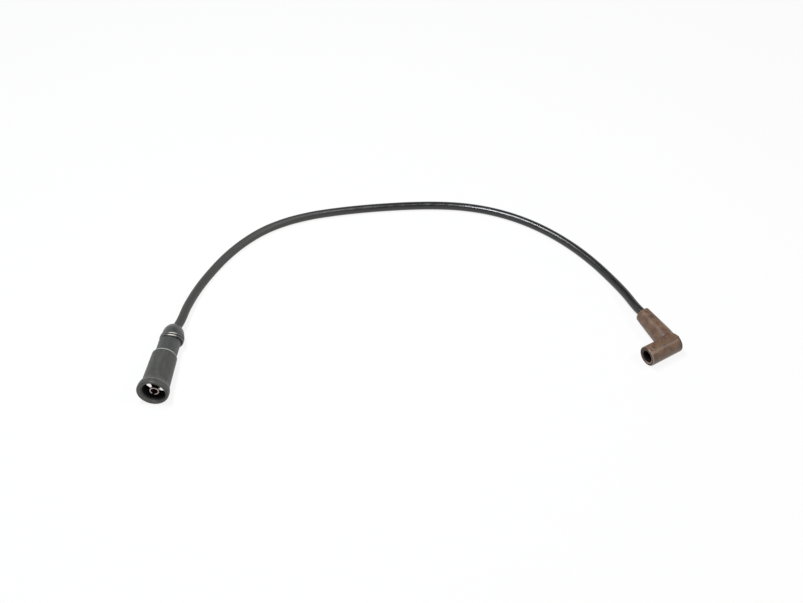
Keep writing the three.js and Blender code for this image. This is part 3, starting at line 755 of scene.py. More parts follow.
@dataclass(frozen=True)
class StraightConnector:
    """The black straight connector: sleeve, housing, seal cap and terminal."""

    mouth: tuple[float, float] = (-194.8, -42.99)
    heading: float = 5.1
    rim_radius: float = 12.3
    rim_depth: float = 2.0
    rim_off_centre: float = 1.15
    sleeve_off_centre: float = 0.5
    well_radius: float = 9.0
    well_depth: float = 18.0
    well_bevel: float = 3.0
    flare_root_radius: float = 10.75
    flare_length: float = 9.0
    sleeve_radius: float = 9.85
    sleeve_bore: float = 8.7
    sleeve_length: float = 38.5
    housing_radius: float = 8.4
    housing_back: float = 62.4
    shoulder: float = 58.4
    spigot_radius: float = 7.0
    skirt: float = 56.8
    lip_station: float = 57.3
    cap_radius: float = 8.9
    cap_lip: float = 0.55
    cap_ridge: float = 0.4
    cap_shift: float = 0.8
    cap_lean: float = 0.06
    cap_skew: float = 0.18
    cap_tip: float = 0.4
    ridge: float = 59.9
    dome_end: float = 70.3
    cable_start: float = 50.3
    cable_hole: float = 3.55
    # The painted highlight's middle and half width, in radians from the cap's top towards its right
    highlight_angle: float = 0.2
    highlight_reach: float = 0.3

    @property
    def tilt(self) -> float:
        """Dip of the axis, as the connector rests on its rim and on the lip of its cap."""
        drop = self.rim_radius - self.cap_radius - self.cap_lip
        return math.atan(drop / (self.lip_station - self.rim_depth))

    @property
    def frame(self) -> Frame:
        """The connector's own frame."""
        height = self.rim_radius * math.cos(self.tilt) + self.rim_depth * math.sin(self.tilt)
        return heading_frame(self.mouth, height, self.heading, self.tilt)

    def lean_sleeve(self, points: np.ndarray, follow: np.ndarray) -> np.ndarray:
        """Shift the sleeve's outside to the left, most of all at its rim.

        Args:
            points: Local points by row and column, in millimetres.
            follow: The share of the shift that each row takes.

        Returns:
            The shifted points.
        """
        flare = np.clip(1 - points[..., 1] / self.flare_length, 0, 1)
        further = self.rim_off_centre - self.sleeve_off_centre
        moved = points.copy()
        moved[..., 0] -= (self.sleeve_off_centre + further * flare) * follow
        return moved

    def lean_cap(self, points: np.ndarray, follow: np.ndarray) -> np.ndarray:
        """Set the cap askew: to the right, its skirt's top forward and its dome's left side back.

        Args:
            points: Local points by row and column, in millimetres.
            follow: The share of the lean that each row takes.

        Returns:
            The leaned points.
        """
        across, station, height = points[..., 0], points[..., 1], points[..., 2]
        in_skirt = np.clip((self.shoulder - station) / (self.shoulder - self.skirt), 0, 1)
        start, end = self.ridge + 0.9, self.housing_back + 1.82
        dome = np.clip((station - start) / (end - start), 0, 1)
        dome = dome * dome * (3 - 2 * dome)
        back = (1 - dome) * self.cap_tip * np.maximum(height, 0) + dome * self.cap_skew * across
        moved = points.copy()
        moved[..., 0] += (self.cap_shift + self.cap_lean * (station - self.lip_station)) * follow
        moved[..., 1] -= back * np.maximum(follow, in_skirt)
        return moved

    def sleeve(self) -> None:
        """Build the rubber sleeve with its flared rim, thin top edge and well."""
        rim, root, well = self.rim_radius, self.flare_root_radius, self.well_radius
        bore, end = self.sleeve_bore - 0.25, self.sleeve_length
        # Painted highlights on the mouth, the rim's shoulder, the top edge and the well's lip; painted
        # shade on the well's wall
        corners = [
            Corner(well + 1.6, 0.0, 0.4, 0.1),
            Corner(rim - 0.9, 0.0, 0.6),
            Corner(rim - 0.2, 0.7, 0.5),
            Corner(rim, self.rim_depth, 0.8),
            Corner(rim - 0.05, 4.2, 0.8),
            Corner(rim - 0.2, 5.15, 0.4, 0.16),
            Corner((rim + root) / 2, 0.78 * self.flare_length, 1.2),
            Corner(root, self.flare_length, 2.5),
            Corner(self.sleeve_radius, end - 1.0, 0.1),
            Corner(self.sleeve_radius, end - 0.65, 0.1, 0.9),
            Corner(self.sleeve_radius - 0.05, end, 0.22, 1.0),
            Corner(bore, end, 0.1, 1.0, follow=0.0),
            Corner(bore, self.well_depth, 0.1, follow=0.0),
            Corner(well - 0.1, self.well_depth - 0.3, 0.2, painted_shade=1.0, follow=0.0),
            Corner(well, self.well_bevel + 1.2, 0.2, painted_shade=1.0, follow=0.0),
            Corner(well, self.well_bevel, 0.6, painted_shade=0.3, follow=0.0),
            Corner(well + 0.6, 0.45 * self.well_bevel, 0.6, 0.12, follow=0.27),
        ]
        mesh = turned_mesh("plug_sleeve_skin", corners, self.frame.place, warp=self.lean_sleeve)
        piece = object_of("plug_sleeve_skin", mesh, BLACK_RUBBER.material())
        finish_piece(piece, "plug_sleeve")

    def housing(self) -> None:
        """Build the housing's tube: it shows between the sleeve's top edge and the cap."""
        corners = [
            Corner(self.housing_radius - 0.3, self.well_depth + 0.1, 0.3),
            Corner(self.housing_radius, self.well_depth + 1.2, 0.4),
            Corner(self.housing_radius, self.shoulder - CLEARANCE, 0.3),
            Corner(self.spigot_radius, self.shoulder - CLEARANCE, 0.1),
            Corner(self.spigot_radius, self.housing_back, 0.5),
            Corner(self.cable_hole, self.housing_back, 0.3),
            Corner(self.cable_hole, self.cable_start - CLEARANCE, 0.1),
            Corner(1.05, self.cable_start - CLEARANCE, 0.1),
            Corner(1.05, self.cable_start - 1.9, 0.1),
            Corner(3.6, self.cable_start - 1.9, 0.1),
            Corner(3.6, self.well_depth + 6.8, 0.1),
            Corner(6.3, self.well_depth + 6.8, 0.1),
            Corner(6.3, self.well_depth + 0.1, 0.3),
        ]
        mesh = turned_mesh("plug_housing_tube", corners, self.frame.place)
        piece = object_of("plug_housing_tube", mesh, MouldedPlastic().material())
        finish_piece(piece, "plug_housing")

    def seal_cap(self) -> None:
        """Build the seal cap: skirt lip, ridge and dome with the cable's collar."""
        cap, lip = self.cap_radius, self.cap_radius + self.cap_lip
        ridge, dome = self.ridge, self.housing_back + CLEARANCE
        grip, room = self.spigot_radius + CLEARANCE, self.housing_radius + CLEARANCE / 2
        rise = self.dome_end - dome
        # The lip and the ridge carry painted highlights; the skirt's inside, the grooves and the
        # cable's hole carry painted shade.
        corners = [
            Corner(grip, dome, 0.1, follow=0.0),
            Corner(grip, self.shoulder, 0.1, follow=0.0),
            Corner(room, self.shoulder, 0.1, follow=0.0),
            Corner(room, self.skirt, 0.1, painted_shade=0.5, follow=0.0),
            Corner(lip - 0.25, self.skirt, 0.3),
            Corner(lip, self.lip_station, 0.4, 0.06),
            Corner(lip - 0.15, self.skirt + 1.2, 0.4),
            Corner(cap - 0.2, self.skirt + 1.85, 0.3, painted_shade=0.95),
            Corner(cap - 0.2, ridge - 0.75, 0.3, painted_shade=0.95),
            Corner(cap + self.cap_ridge, ridge - 0.2, 0.4, 0.06),
            Corner(cap + self.cap_ridge, ridge + 0.2, 0.4, 0.06),
            Corner(cap - 0.15, ridge + 0.95, 0.4, painted_shade=0.7),
            Corner(cap - 0.1, dome, 1.0),
            Corner(0.94 * cap, dome + 0.2 * rise, 1.0),
            Corner(0.87 * cap, dome + 0.45 * rise, 1.0),
            Corner(0.77 * cap, dome + 0.7 * rise, 1.0),
            Corner(0.66 * cap, dome + 0.88 * rise, 0.8),
            Corner(0.54 * cap, self.dome_end, 0.4, 0.1),
            Corner(self.cable_hole, self.dome_end, 0.3, painted_shade=0.6, follow=0.0),
            Corner(self.cable_hole, dome, 0.1, follow=0.0),
        ]
        mesh = turned_mesh("plug_seal_cap_skin", corners, self.frame.place, warp=self.lean_cap)
        self.paint_crest_highlight(mesh)
        piece = object_of("plug_seal_cap_skin", mesh, CAP_RUBBER.material())
        finish_piece(piece, "plug_seal_cap")

    def paint_crest_highlight(self, mesh: bpy.types.Mesh) -> None:
        """Mark a painted highlight along the top right of the cap's lip and of its ridge.

        Args:
            mesh: The cap's mesh.
        """
        place = np.zeros(len(mesh.vertices) * 3)
        mesh.vertices.foreach_get("co", place)
        x, _, z = self.frame.local(place.reshape(-1, 3)).T
        x = x - self.cap_shift
        crest = np.clip((np.hypot(x, z) - self.cap_radius - 0.1) / 0.2, 0, 1)
        away = np.abs(np.arctan2(x, z) - self.highlight_angle)
        highlight_band = np.clip(1.5 - away / self.highlight_reach, 0, 1)
        wear_and_highlight = mesh.attributes["wear_and_highlight"].data
        marked_before = np.zeros(len(wear_and_highlight))
        wear_and_highlight.foreach_get("value", marked_before)
        wear_and_highlight.foreach_set("value", np.maximum(marked_before, crest * highlight_band).astype(np.float32))

    def build(self) -> None:
        """Build the connector's pieces in order."""
        self.sleeve()
        self.housing()
        self.seal_cap()
        SocketClip(self.frame).build()


@dataclass(frozen=True)
class SocketClip:
    """The rolled sheet terminal in the well: a slotted socket with a bead, two ears and a stem."""

    frame: Frame
    radius: float = 3.55
    wall: float = 0.6
    bead: float = 0.7
    front: float = 2.4
    back: float = 17.7
    slot: float = 2.0
    slot_end: float = 15.2
    roll: float = 20.0
    stem_radius: float = 1.5
    stem_back: float = 26.2
    ear_station: float = 5.0
    ear_angle: float = 60.0
    ear_reach: float = 7.6
    ear_root_width: float = 1.4
    ear_tip_width: float = 3.4
    ear_thickness: float = 0.5
    # The ears lean back at the top, so that they mirror the bright floor
    ear_lean: float = 0.27

    def shell(self, made: bmesh.types.BMesh) -> None:
        """Add the slotted shell, whose front edge is rolled into a bead.

        Args:
            made: The mesh in the making.
        """
        bore, front = self.radius - self.wall, self.front
        corners = [
            Corner(bore, self.slot_end),
            Corner(bore, front + 2 * self.bead, 0.3),
            Corner(bore - 0.35, front + self.bead, 0.3),
            Corner(bore - 0.15, front + 0.1, 0.3),
            Corner(self.radius - 0.2, front, 0.3, 0.15),
            Corner(self.radius + 0.15, front + 0.35, 0.3),
            Corner(self.radius + 0.15, front + self.bead + 0.3, 0.3),
            Corner(self.radius, front + 2 * self.bead, 0.3),
            Corner(self.radius, self.slot_end),
        ]
        half = math.asin(self.slot / 2 / (self.radius - self.wall / 2))
        middle = math.radians(180 + self.roll)
        arc = (middle + half, middle + 2 * math.pi - half)
        add_turned(made, corners, self.frame.place, segments=60, arc=arc)

    def cup(self, made: bmesh.types.BMesh) -> None:
        """Add the closed cup behind the slot and its stem.

        Args:
            made: The mesh in the making.
        """
        corners = [
            Corner(0.0, self.back - 1),
            Corner(self.radius - self.wall, self.back - 1, 0.4),
            Corner(self.radius - self.wall, self.slot_end),
            Corner(self.radius, self.slot_end),
            Corner(self.radius, self.back, 0.4),
            Corner(self.stem_radius, self.back, 0.3),
            Corner(self.stem_radius, self.stem_back, 0.3),
            Corner(0.0, self.stem_back),
        ]
        add_turned(made, corners, self.frame.place, closed=False, segments=48)

    def ears(self, made: bmesh.types.BMesh) -> None:
        """Add the two flat ears, which face the mouth and are polished by the plug.

        Args:
            made: The mesh in the making.
        """
        root, reach, tip = self.radius - self.wall, self.ear_reach, self.ear_tip_width
        steps = np.linspace(0, math.pi / 2, 6)
        corner = [(tip / 2 - 1 + math.sin(t), reach - 1 + math.cos(t)) for t in steps]
        right = [*corner, (self.ear_root_width / 2, root)]
        outline = [*right, *[(-x, y) for x, y in reversed(right)]]
        for side in (1, -1):
            turn = math.radians(side * self.ear_angle + self.roll)
            cos, sin = math.cos(turn), math.sin(turn)
            edge = [(u * cos + v * sin, v * cos - u * sin) for u, v in outline]
            middle = sum(z for _, z in edge) / len(edge)
            edge = [(x, self.ear_station + self.ear_lean * (z - middle), z) for x, z in edge]
            add_plate(made, edge, (0.0, self.ear_thickness / 2, 0.0), self.frame.place)

    def build(self) -> None:
        """Build the terminal, with its ears in a brighter finish."""
        made = bmesh.new()
        self.shell(made)
        self.cup(made)
        plain_faces = len(made.faces)
        self.ears(made)
        mesh = mesh_of("plug_terminal_clip", made)
        piece = object_of("plug_terminal_clip", mesh, TINNED_STEEL.material())
        mesh.materials.append(POLISHED_TIN.material())
        for face in mesh.polygons[plain_faces:]:
            face.material_index = 1
        edges = piece.modifiers.new("soft_edges", "BEVEL")
        edges.width, edges.segments, edges.angle_limit = 0.1 * MM, 2, math.radians(40)
        edges.harden_normals = True
        finish_piece(piece, "plug_terminal")


@dataclass(frozen=True)
class ElbowConnector:
    """The brown elbow boot: barrel, neck, flat-topped saddle and the bores through them."""

    mouth: tuple[float, float] = (179.1, -2.61)
    heading: float = 58.5
    axis_height: float = 8.3
    barrel_length: float = 29.6
    mouth_radius: float = 8.05
    back_radius: float = 7.75
    bore: float = 4.5
    bore_depth: float = 26.6
    bevel: float = 1.0
    # The ring of painted shade on the mouth's face, by inner and outer radius; no groove is cut there
    groove: tuple[float, float] = (6.0, 7.0)
    saddle_front: float = 1.8
    saddle_back: float = 4.2
    saddle_start: float = 3.2
    saddle_inset: float = 0.4
    saddle_chamfer: float = 3.0
    neck_station: float = 23.3
    elbow_angle: float = 85.0
    neck_length: float = 37.0
    neck_base_radius: float = 8.3
    neck_base_station: float = 6.5
    neck_tip_radius: float = 6.7
    neck_cavity: float = 4.7
    neck_cavity_length: float = 20.0
    cable_cut: float = 13.0
    cable_hole: float = 3.55
    voxel: float = 0.34
    # How far the remesh's smoothing spares the saddle's corner and rounds the neck's root
    crisp_reach: float = 1.5
    fillet_reach: float = 2.2

    @property
    def frame(self) -> Frame:
        """The elbow's own frame."""
        return heading_frame(self.mouth, self.axis_height, self.heading, 0.0)

    @property
    def neck_frame(self) -> Frame:
        """The neck's frame in the part's frame: local Y runs out along the neck.

        Returns:
            The neck's frame.
        """
        turn = math.radians(self.elbow_angle)
        side, along = (math.cos(turn), math.sin(turn), 0.0), (-math.sin(turn), math.cos(turn), 0.0)
        return self.frame.within(Frame((0.0, self.neck_station, 0.0), side, along, (0.0, 0.0, 1.0)))

    def barrel(self) -> bpy.types.Object:
        """Build the barrel's outside.

        Returns:
            The barrel's working solid.
        """
        corners = [
            Corner(0.0, 0.0),
            Corner(self.mouth_radius, 0.0, 0.9),
            Corner(self.back_radius, self.barrel_length, 1.3),
            Corner(0.0, self.barrel_length),
        ]
        mesh = turned_mesh("barrel", corners, self.frame.place, closed=False, segments=72)
        return object_of("barrel", mesh)

    def plate(self, outline: Sequence[tuple[float, float]], half_height: float) -> bpy.types.Object:
        """Make a working plate with a plan outline, centred on the elbow's axis.

        Args:
            outline: Plan points in the elbow's frame, in millimetres.
            half_height: Half the plate's thickness.

        Returns:
            The plate.
        """
        made = bmesh.new()
        edge = [(x, y, 0.0) for x, y in outline]
        add_plate(made, edge, (0.0, 0.0, half_height), self.frame.place)
        return object_of("plate", mesh_of("plate", made))

    def neck(self) -> bpy.types.Object:
        """Build the neck's outside, cut flush with the barrel's closed end.

        Returns:
            The neck's working solid.
        """
        corners = [
            Corner(0.0, 0.0),
            Corner(self.neck_base_radius, 0.0),
            Corner(self.neck_base_radius, self.neck_base_station, 2.0),
            Corner(self.neck_tip_radius, self.neck_length, 0.9),
            Corner(0.0, self.neck_length),
        ]
        mesh = turned_mesh("neck", corners, self.neck_frame.place, closed=False, segments=72)
        neck = object_of("neck", mesh)
        reach, end = 2 * (self.neck_length + self.neck_base_radius), self.barrel_length
        kept = [(-reach, -reach), (reach, -reach), (reach, end), (-reach, end)]
        self.combine(neck, self.plate(kept, reach), "INTERSECT")
        return neck

    def saddle(self) -> bpy.types.Object:
        """Build the flat-topped saddle, whose front edge is the crease along the barrel.

        Returns:
            The saddle's working solid.
        """
        end = self.barrel_length - self.saddle_inset
        outline = [
            (-self.saddle_back, self.saddle_start),
            (self.saddle_front, self.saddle_start),
            (self.saddle_front, end),
            (self.saddle_front - self.saddle_back, end - self.saddle_chamfer / 3),
            (-self.saddle_back, end - self.saddle_chamfer),
        ]
        return self.plate(outline, self.axis_height)

    def holes(self) -> list[bpy.types.Object]:
        """Build what is cut out: the barrel's bore, the neck's cavity and the cable's hole.

        Returns:
            The working solids.
        """
        bore = [
            Corner(0.0, -1.0),
            Corner(self.bore + 2 * self.bevel, -1.0),
            Corner(self.bore + self.bevel, 0.0),
            Corner(self.bore, self.bevel, 0.4),
            Corner(self.bore, self.bore_depth),
            Corner(0.0, self.bore_depth),
        ]
        cavity = [
            Corner(0.0, 0.0),
            Corner(self.neck_cavity, 0.0),
            Corner(self.neck_cavity, self.neck_cavity_length),
            Corner(self.cable_hole, self.neck_cavity_length),
            Corner(self.cable_hole, self.neck_length + 1),
            Corner(0.0, self.neck_length + 1),
        ]
        choices = (("bore", bore, self.frame.place), ("cavity", cavity, self.neck_frame.place))
        return [
            object_of(name, turned_mesh(name, corners, place, closed=False, segments=64))
            for name, corners, place in choices
        ]

    def combine(self, piece: bpy.types.Object, other: bpy.types.Object, how: str) -> None:
        """Join, cut or intersect a piece with another and drop the other.

        Args:
            piece: The piece that is changed.
            other: The working solid.
            how: UNION, DIFFERENCE or INTERSECT.
        """
        change = piece.modifiers.new("combine", "BOOLEAN")
        change.operation = how
        change.solver = "EXACT"
        change.object = other
        self.apply(piece)
        bpy.data.objects.remove(other)

    def apply(self, piece: bpy.types.Object) -> None:
        """Turn a piece's modifiers into its mesh.

        Args:
            piece: The piece that is changed.
        """
        graph = bpy.context.evaluated_depsgraph_get()
        mesh = bpy.data.meshes.new_from_object(piece.evaluated_get(graph))
        piece.modifiers.clear()
        piece.data = mesh

    def relax(self, mesh: bpy.types.Mesh, weight: np.ndarray, rounds: int) -> None:
        """Smooth a mesh by pulling each point towards its neighbours.

        Args:
            mesh: The mesh to smooth.
            weight: How far each point goes in a round, from 0 to 1.
            rounds: The number of rounds.
        """
        count = len(mesh.vertices)
        place = np.zeros(count * 3)
        mesh.vertices.foreach_get("co", place)
        place = place.reshape(-1, 3)
        edges = np.zeros(len(mesh.edges) * 2, int)
        mesh.edges.foreach_get("vertices", edges)
        one, two = edges.reshape(-1, 2).T
        degree = np.bincount(one, minlength=count) + np.bincount(two, minlength=count)
        for _ in range(rounds):
            total = np.zeros_like(place)
            for axis in range(3):
                total[:, axis] = np.bincount(one, place[two, axis], count)
                total[:, axis] += np.bincount(two, place[one, axis], count)
            place += weight[:, None] * (total / degree[:, None] - place)
        mesh.vertices.foreach_set("co", place.ravel())
        mesh.update()

    def build(self) -> None:
        """Build the one-piece boot with soft inner corners."""
        boot = self.barrel()
        self.combine(boot, self.saddle(), "UNION")
        self.combine(boot, self.neck(), "UNION")
        for hole in self.holes():
            self.combine(boot, hole, "DIFFERENCE")
        remesh = boot.modifiers.new("skin", "REMESH")
        remesh.mode = "VOXEL"
        remesh.voxel_size = self.voxel * MM
        self.apply(boot)
        mesh = boot.data
        place = np.zeros(len(mesh.vertices) * 3)
        mesh.vertices.foreach_get("co", place)
        local = self.frame.local(place.reshape(-1, 3))
        end = self.barrel_length - self.saddle_inset
        saddle_corner = np.array([self.saddle_front, end, self.axis_height])
        near = np.linalg.norm(np.abs(local) - saddle_corner, axis=1) < self.crisp_reach
        self.relax(mesh, np.where(near, 0.1, 0.5), 2)
        self.relax(mesh, 0.6 * self.junction(local, self.fillet_reach), 30)
        self.mark(mesh, local)
        mesh.materials.clear()
        for finish in (BROWN_SILICONE, BORE_SILICONE):
            mesh.materials.append(finish.material())
        # Faces inside the bore take the darker copy of the silicone: painted shade
        for face in mesh.polygons:
            face.use_smooth = True
            x, y, z = local[face.vertices[0]]
            in_bore = 0.6 < y < self.bore_depth + 0.3 and math.hypot(x, z) < self.bore + 0.5
            face.material_index = int(in_bore)
        boot.name = "elbow_boot_skin"
        finish_piece(boot, "elbow_boot")

    def junction(self, local: np.ndarray, width: float) -> np.ndarray:
        """Find the inner corner between the neck and the barrel.

        Args:
            local: Points in the elbow's frame, in millimetres.
            width: How far the corner reaches, in millimetres.

        Returns:
            1 in the corner, falling to 0 at that width.
        """
        from_axis = np.hypot(local[:, 0], local[:, 2])
        from_neck = np.hypot(local[:, 1] - self.neck_station, local[:, 2])
        near_barrel = np.clip(1 - np.abs(from_axis - self.back_radius) / width, 0, 1)
        near_neck = np.clip(1 - np.abs(from_neck - self.neck_base_radius) / width, 0, 1)
        outside = (from_axis > self.bore + 1.5) & (-local[:, 0] > self.saddle_back - 1)
        return np.where(outside, near_barrel * near_neck, 0.0) ** 0.5

    def mark(self, mesh: bpy.types.Mesh, local: np.ndarray) -> None:
        """Mark painted highlights on the mouth's rim and painted shade in the corners, crease, groove,
        bore, closed end and on the mouth's left side.

        Args:
            mesh: The boot's mesh.
            local: Its points in the elbow's frame, in millimetres.
        """
        x, y, z = local.T
        radius = np.hypot(x, z)
        face = np.clip((0.75 - y) / 0.4, 0, 1)
        inner, outer = self.groove
        groove = np.clip(1.4 - 2 * np.abs(radius - (inner + outer) / 2) / (outer - inner), 0, 1)
        ring = np.clip(1 - np.abs(radius - 5.7) / 0.4, 0, 1)
        off_edge = np.hypot(x - self.saddle_front - 0.15, np.abs(z) - 7.75)
        crease = np.clip(1.3 - off_edge / 0.4, 0, 1)
        on_saddle = (y > self.saddle_start) & (y < self.barrel_length - 0.5)
        crease *= np.clip((y - 8) / 8, 0.15, 1) * on_saddle
        inside = (radius < self.bore + 0.45) & (y < self.bore_depth) & (y > 0.5)
        back = np.clip((y - 27.6) / 0.8, 0, 1) * (x > -self.saddle_back)
        shaded = np.clip((1.0 - x) / 2.5, 0, 1)
        root = self.junction(local, 0.9)
        # Painted shade in the groove, the crease, the bore, the closed end's rounding, the neck's root
        # and the mouth face's left side
        painted_shade = np.maximum.reduce(
            [face * groove, 0.55 * crease, 0.9 * inside, 0.8 * back, 0.7 * root, 0.55 * face * shaded]
        )
        # Painted highlight on the ring round the bore and on the mouth's outer rim, on the side away
        # from the painted shade
        wear_and_highlight = np.clip(face * (ring + np.clip(radius - 7.1, 0, 1)) * (1 - shaded), 0, 1)
        for name, value in (("wear_and_highlight", 0.8 * wear_and_highlight), ("painted_shade", painted_shade)):
            layer = mesh.attributes.new(name, "FLOAT", "POINT")
            layer.data.foreach_set("value", value.astype(np.float32))


@dataclass(frozen=True)
class IgnitionCable:
    """The 7 mm cable: its route between the connectors and its jacket."""

    plug: StraightConnector
    elbow: ElbowConnector
    radius: float = 3.5
    bore: float = 2.85
    sides: int = 40
    steps: int = 420
    # The same points as in the part's source, in metres
    route: tuple[Point, ...] = (
        (-0.1847, 0.0353, 0.008),
        (-0.1817, 0.0523, 0.0067),
        (-0.1761, 0.0733, 0.0046),
        (-0.1676, 0.0937, 0.0036),
        (-0.1566, 0.1131, 0.0036),
        (-0.1431, 0.1308, 0.0036),
        (-0.1272, 0.1457, 0.0036),
        (-0.1088, 0.1567, 0.0036),
        (-0.0884, 0.1644, 0.0036),
        (-0.067, 0.1694, 0.0036),
        (-0.0452, 0.173, 0.0036),
        (-0.0233, 0.1756, 0.0036),
        (-0.0012, 0.1773, 0.0036),
        (0.021, 0.1777, 0.0036),
        (0.0429, 0.176, 0.0036),
        (0.0641, 0.1713, 0.0036),
        (0.0845, 0.1634, 0.0036),
        (0.1035, 0.1525, 0.0036),
        (0.1208, 0.139, 0.0036),
        (0.1364, 0.1234, 0.0036),
        (0.1501, 0.1062, 0.0036),
        (0.1618, 0.0875, 0.0042),
        (0.1713, 0.0678, 0.0063),
        (0.178, 0.051, 0.0079),
    )

    def line(self) -> np.ndarray:
        """Give the cable's centreline from inside one connector to inside the other.

        Returns:
            The centreline's points in metres.
        """
        plug, neck = self.plug, self.elbow
        starts = (plug.cable_start, (plug.cable_start + plug.housing_back) / 2, plug.housing_back)
        ends = (neck.neck_length, (neck.neck_length + neck.cable_cut) / 2, neck.cable_cut)
        first = [plug.frame.place((0.0, s, 0.0)) for s in starts]
        last = [neck.neck_frame.place((0.0, s, 0.0)) for s in ends]
        return smooth_curve([*first, *self.route, *last], self.steps)

    def jacket_mesh(self, line: np.ndarray) -> bpy.types.Mesh:
        """Make the jacket's tube round a line, with its own lengthwise coordinates.

        Args:
            line: The centreline's points in metres.

        Returns:
            The tube's mesh.
        """
        tangent = np.gradient(line, axis=0)
        tangent /= np.linalg.norm(tangent, axis=1)[:, None]
        side = np.cross(tangent, np.array([0.0, 0.0, 1.0]))
        side /= np.linalg.norm(side, axis=1)[:, None]
        up = np.cross(side, tangent)
        angles = np.arange(self.sides) * 2 * math.pi / self.sides
        across, over = np.cos(angles), np.sin(angles)
        shells, lays = [], []
        for radius, rows in ((self.radius, slice(None)), (self.bore, slice(None, None, -1))):
            ring = across[None, :, None] * side[rows, None, :]
            ring = ring + over[None, :, None] * up[rows, None, :]
            shells.append(line[rows, None, :] + radius * MM * ring)
            along = np.broadcast_to(run_of(line)[rows, None] / MM, ring.shape[:2])
            section = (np.broadcast_to(radius * part, along.shape) for part in (across, over))
            lays.append(np.stack([along, *section], axis=-1))
        made = bmesh.new()
        add_grid(made, np.vstack(shells), wrap_rows=True, lay=np.vstack(lays))
        return mesh_of("cable_jacket_skin", made)

    def build(self) -> None:
        line = self.line()
        mesh = self.jacket_mesh(line)
        jacket = object_of("cable_jacket_skin", mesh, ExtrudedJacket().material())
        finish_piece(jacket, "cable_jacket")
        tuple(self.plug.frame.place((0.0, self.plug.dome_end, 0.0)))


class HiddenFinish(Enum):
    """The finish of each solid that is shown as it is, by its node's name."""

    # A darker copy of the housing's plastic: painted shade at the bottom of the well
    TERMINAL_BUSH = (
        "terminal_bush",
        "black_plastic",
        MouldedPlastic("nylon_bush_black", "#161616", "#1d1d1d"),
    )
    ELBOW_TERMINAL = ("elbow_terminal", "plated_steel", TINNED_STEEL)
    SNAP_RING = ("elbow_snap_ring", "spring_steel", SPRING_STEEL)
    STEM_RETAINER = ("stem_retainer", "spring_steel", SPRING_STEEL)
    CONTACT_SPRING = ("contact_spring", "spring_steel", SPRING_STEEL)
    CONTACT_SCREW = ("contact_screw", "brass", TURNED_BRASS)
    FRONT_CAP = ("resistor_front_cap", "brass", TURNED_BRASS)
    REAR_CAP = ("resistor_rear_cap", "brass", TURNED_BRASS)
    RESISTOR = ("resistor_rod", "white_ceramic", Ceramic())
    BRAID = ("cable_braid", "glass_braid", WovenBraid())
    INSULATION = ("cable_insulation", "cream_rubber", CREAM_INSULATION)
    CORE = ("cable_core", "carbon_core", CARBON_CORE)


def dress_solids() -> None:
    """Give each solid that stays shown its own finish."""
    made: dict[str, bpy.types.Material] = {}
    for choice in HiddenFinish:
        name, slot, finish = choice.value
        if finish.name not in made:
            made[finish.name] = finish.material()
        node = frame["nodes"][name]
        node.data.materials.clear()
        node.data.materials.append(made[finish.name])
        log.info("%s: %s", name, finish.name)


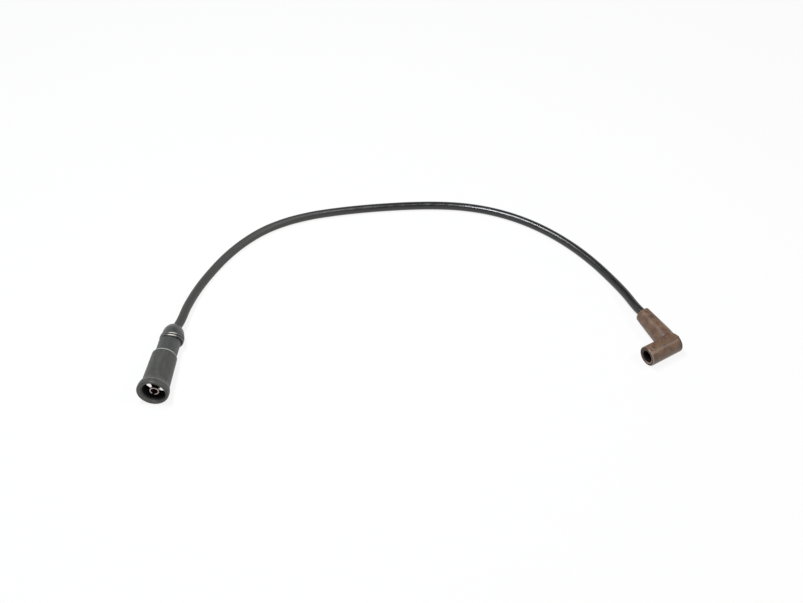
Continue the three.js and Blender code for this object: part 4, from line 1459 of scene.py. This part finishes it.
@dataclass(frozen=True)
class Studio:
    """The photograph's camera, a white floor and soft lamps."""

    target: Point = (-0.0099, 0.06451, 0.0)
    distance: float = 1.0
    elevation: float = 46.0
    lens: float = 55.14
    sensor: float = 36.0
    floor_size: float = 8.0
    # The share of the floor's own light and shade that shows through its white
    floor_shade: float = 0.12
    sky_strength: float = 0.2

    def camera(self) -> None:
        """Make the camera at the photograph's angle."""
        data = bpy.data.cameras.new("photo_camera")
        data.lens = self.lens
        data.sensor_width = self.sensor
        data.sensor_fit = "HORIZONTAL"
        data.clip_start, data.clip_end = 0.01, 50.0
        camera = bpy.data.objects.new("photo_camera", data)
        rise = math.radians(self.elevation)
        away = Vector((0.0, -math.cos(rise), math.sin(rise)))
        camera.location = Vector(self.target) + away * self.distance
        camera.rotation_euler = (-away).to_track_quat("-Z", "Y").to_euler()
        bpy.context.scene.collection.objects.link(camera)
        bpy.context.scene.camera = camera

    def seen_directly(self, tree: bpy.types.NodeTree) -> Socket:
        """Tell the rays from the camera, from a reflection or through glass from the rest.

        Args:
            tree: The node tree that asks.

        Returns:
            1 for those rays and 0 for the rest.
        """
        path = add_node(tree, "ShaderNodeLightPath")
        total = path.outputs["Is Camera Ray"]
        for name in ("Is Glossy Ray", "Is Transmission Ray"):
            inputs = {0: total, 1: path.outputs[name]}
            total = add_node(tree, "ShaderNodeMath", {"operation": "MAXIMUM"}, inputs).outputs[0]
        return total

    def world(self) -> None:
        """Make a plain dim sky that fills the shadows."""
        world = bpy.data.worlds.new("studio_sky")
        world.use_nodes = True
        world.node_tree.nodes.clear()
        inputs = {"Color": linear("#f4f7fa"), "Strength": self.sky_strength}
        sky = add_node(world.node_tree, "ShaderNodeBackground", inputs=inputs)
        add_node(world.node_tree, "ShaderNodeOutputWorld", inputs={"Surface": sky.outputs[0]})
        bpy.context.scene.world = world

    def floor(self) -> None:
        """Make the white floor and its round backdrop, which keep a soft shadow."""
        material = bpy.data.materials.new("white_studio_floor")
        material.use_nodes = True
        tree = material.node_tree
        tree.nodes.clear()
        matt = add_node(tree, "ShaderNodeBsdfDiffuse", inputs={"Color": linear("#e4e4e4")})
        inputs = {"Color": linear("#ffffff"), "Strength": 1.0}
        glow = add_node(tree, "ShaderNodeEmission", inputs=inputs)
        inputs = {"Value": self.seen_directly(tree), 3: 0.0, 4: 1 - self.floor_shade}
        share = add_node(tree, "ShaderNodeMapRange", inputs=inputs)
        inputs = {0: share.outputs[0], 1: matt.outputs[0], 2: glow.outputs[0]}
        mix = add_node(tree, "ShaderNodeMixShader", inputs=inputs)
        add_node(tree, "ShaderNodeOutputMaterial", inputs={"Surface": mix.outputs[0]})
        radius, under = self.floor_size / 2, -0.0001
        rows = [(0.0, under), (radius - 0.8, under)]
        rows += [(radius - 0.2, 0.15), (radius, 0.6), (radius, 0.6 * radius)]
        angles = np.arange(64) * 2 * math.pi / 64
        points = [[(r * math.cos(a), r * math.sin(a), z) for a in angles] for r, z in rows]
        made = bmesh.new()
        add_grid(made, np.array(points))
        floor = object_of("studio_floor", mesh_of("studio_floor", made), material)

    def lamp(
        self, name: str, place: Point, size: tuple[float, float], watts: float, colour: str
    ) -> None:
        """Hang a soft box that faces the lead.

        Args:
            name: The lamp's name.
            place: Its place in metres.
            size: Its width and length in metres.
            watts: Its power.
            colour: Its colour as sRGB hex.
        """
        data = bpy.data.lights.new(name, "AREA")
        data.shape = "RECTANGLE"
        data.size, data.size_y = size
        data.energy = watts
        data.color = linear(colour)[:3]
        lamp = bpy.data.objects.new(name, data)
        lamp.location = place
        aim = Vector(self.target) - Vector(place)
        lamp.rotation_euler = aim.to_track_quat("-Z", "Y").to_euler()
        bpy.context.scene.collection.objects.link(lamp)

    def lamps(self) -> None:
        """Hang the main box on the left of the middle and a weaker one on the right."""
        self.lamp("main_box", (-0.28, 0.02, 1.08), (0.55, 0.14), 13.0, "#f8faff")
        self.lamp("right_box", (0.82, -0.16, 1.05), (0.3, 0.2), 5.0, "#fff9f0")

    def build(self) -> None:
        """Set the scene."""
        bpy.context.scene.view_settings.view_transform = "Standard"
        self.world()
        self.floor()
        self.lamps()


def main() -> None:
    """Build the camera and the cable first, then the connectors and the studio."""
    logging.basicConfig(level=logging.INFO, format="%(name)s: %(message)s")
    studio = Studio()
    studio.camera()
    plug, elbow = StraightConnector(), ElbowConnector()
    IgnitionCable(plug, elbow).build()
    plug.build()
    elbow.build()
    dress_solids()
    studio.build()


if __name__ == "__main__":
    main()
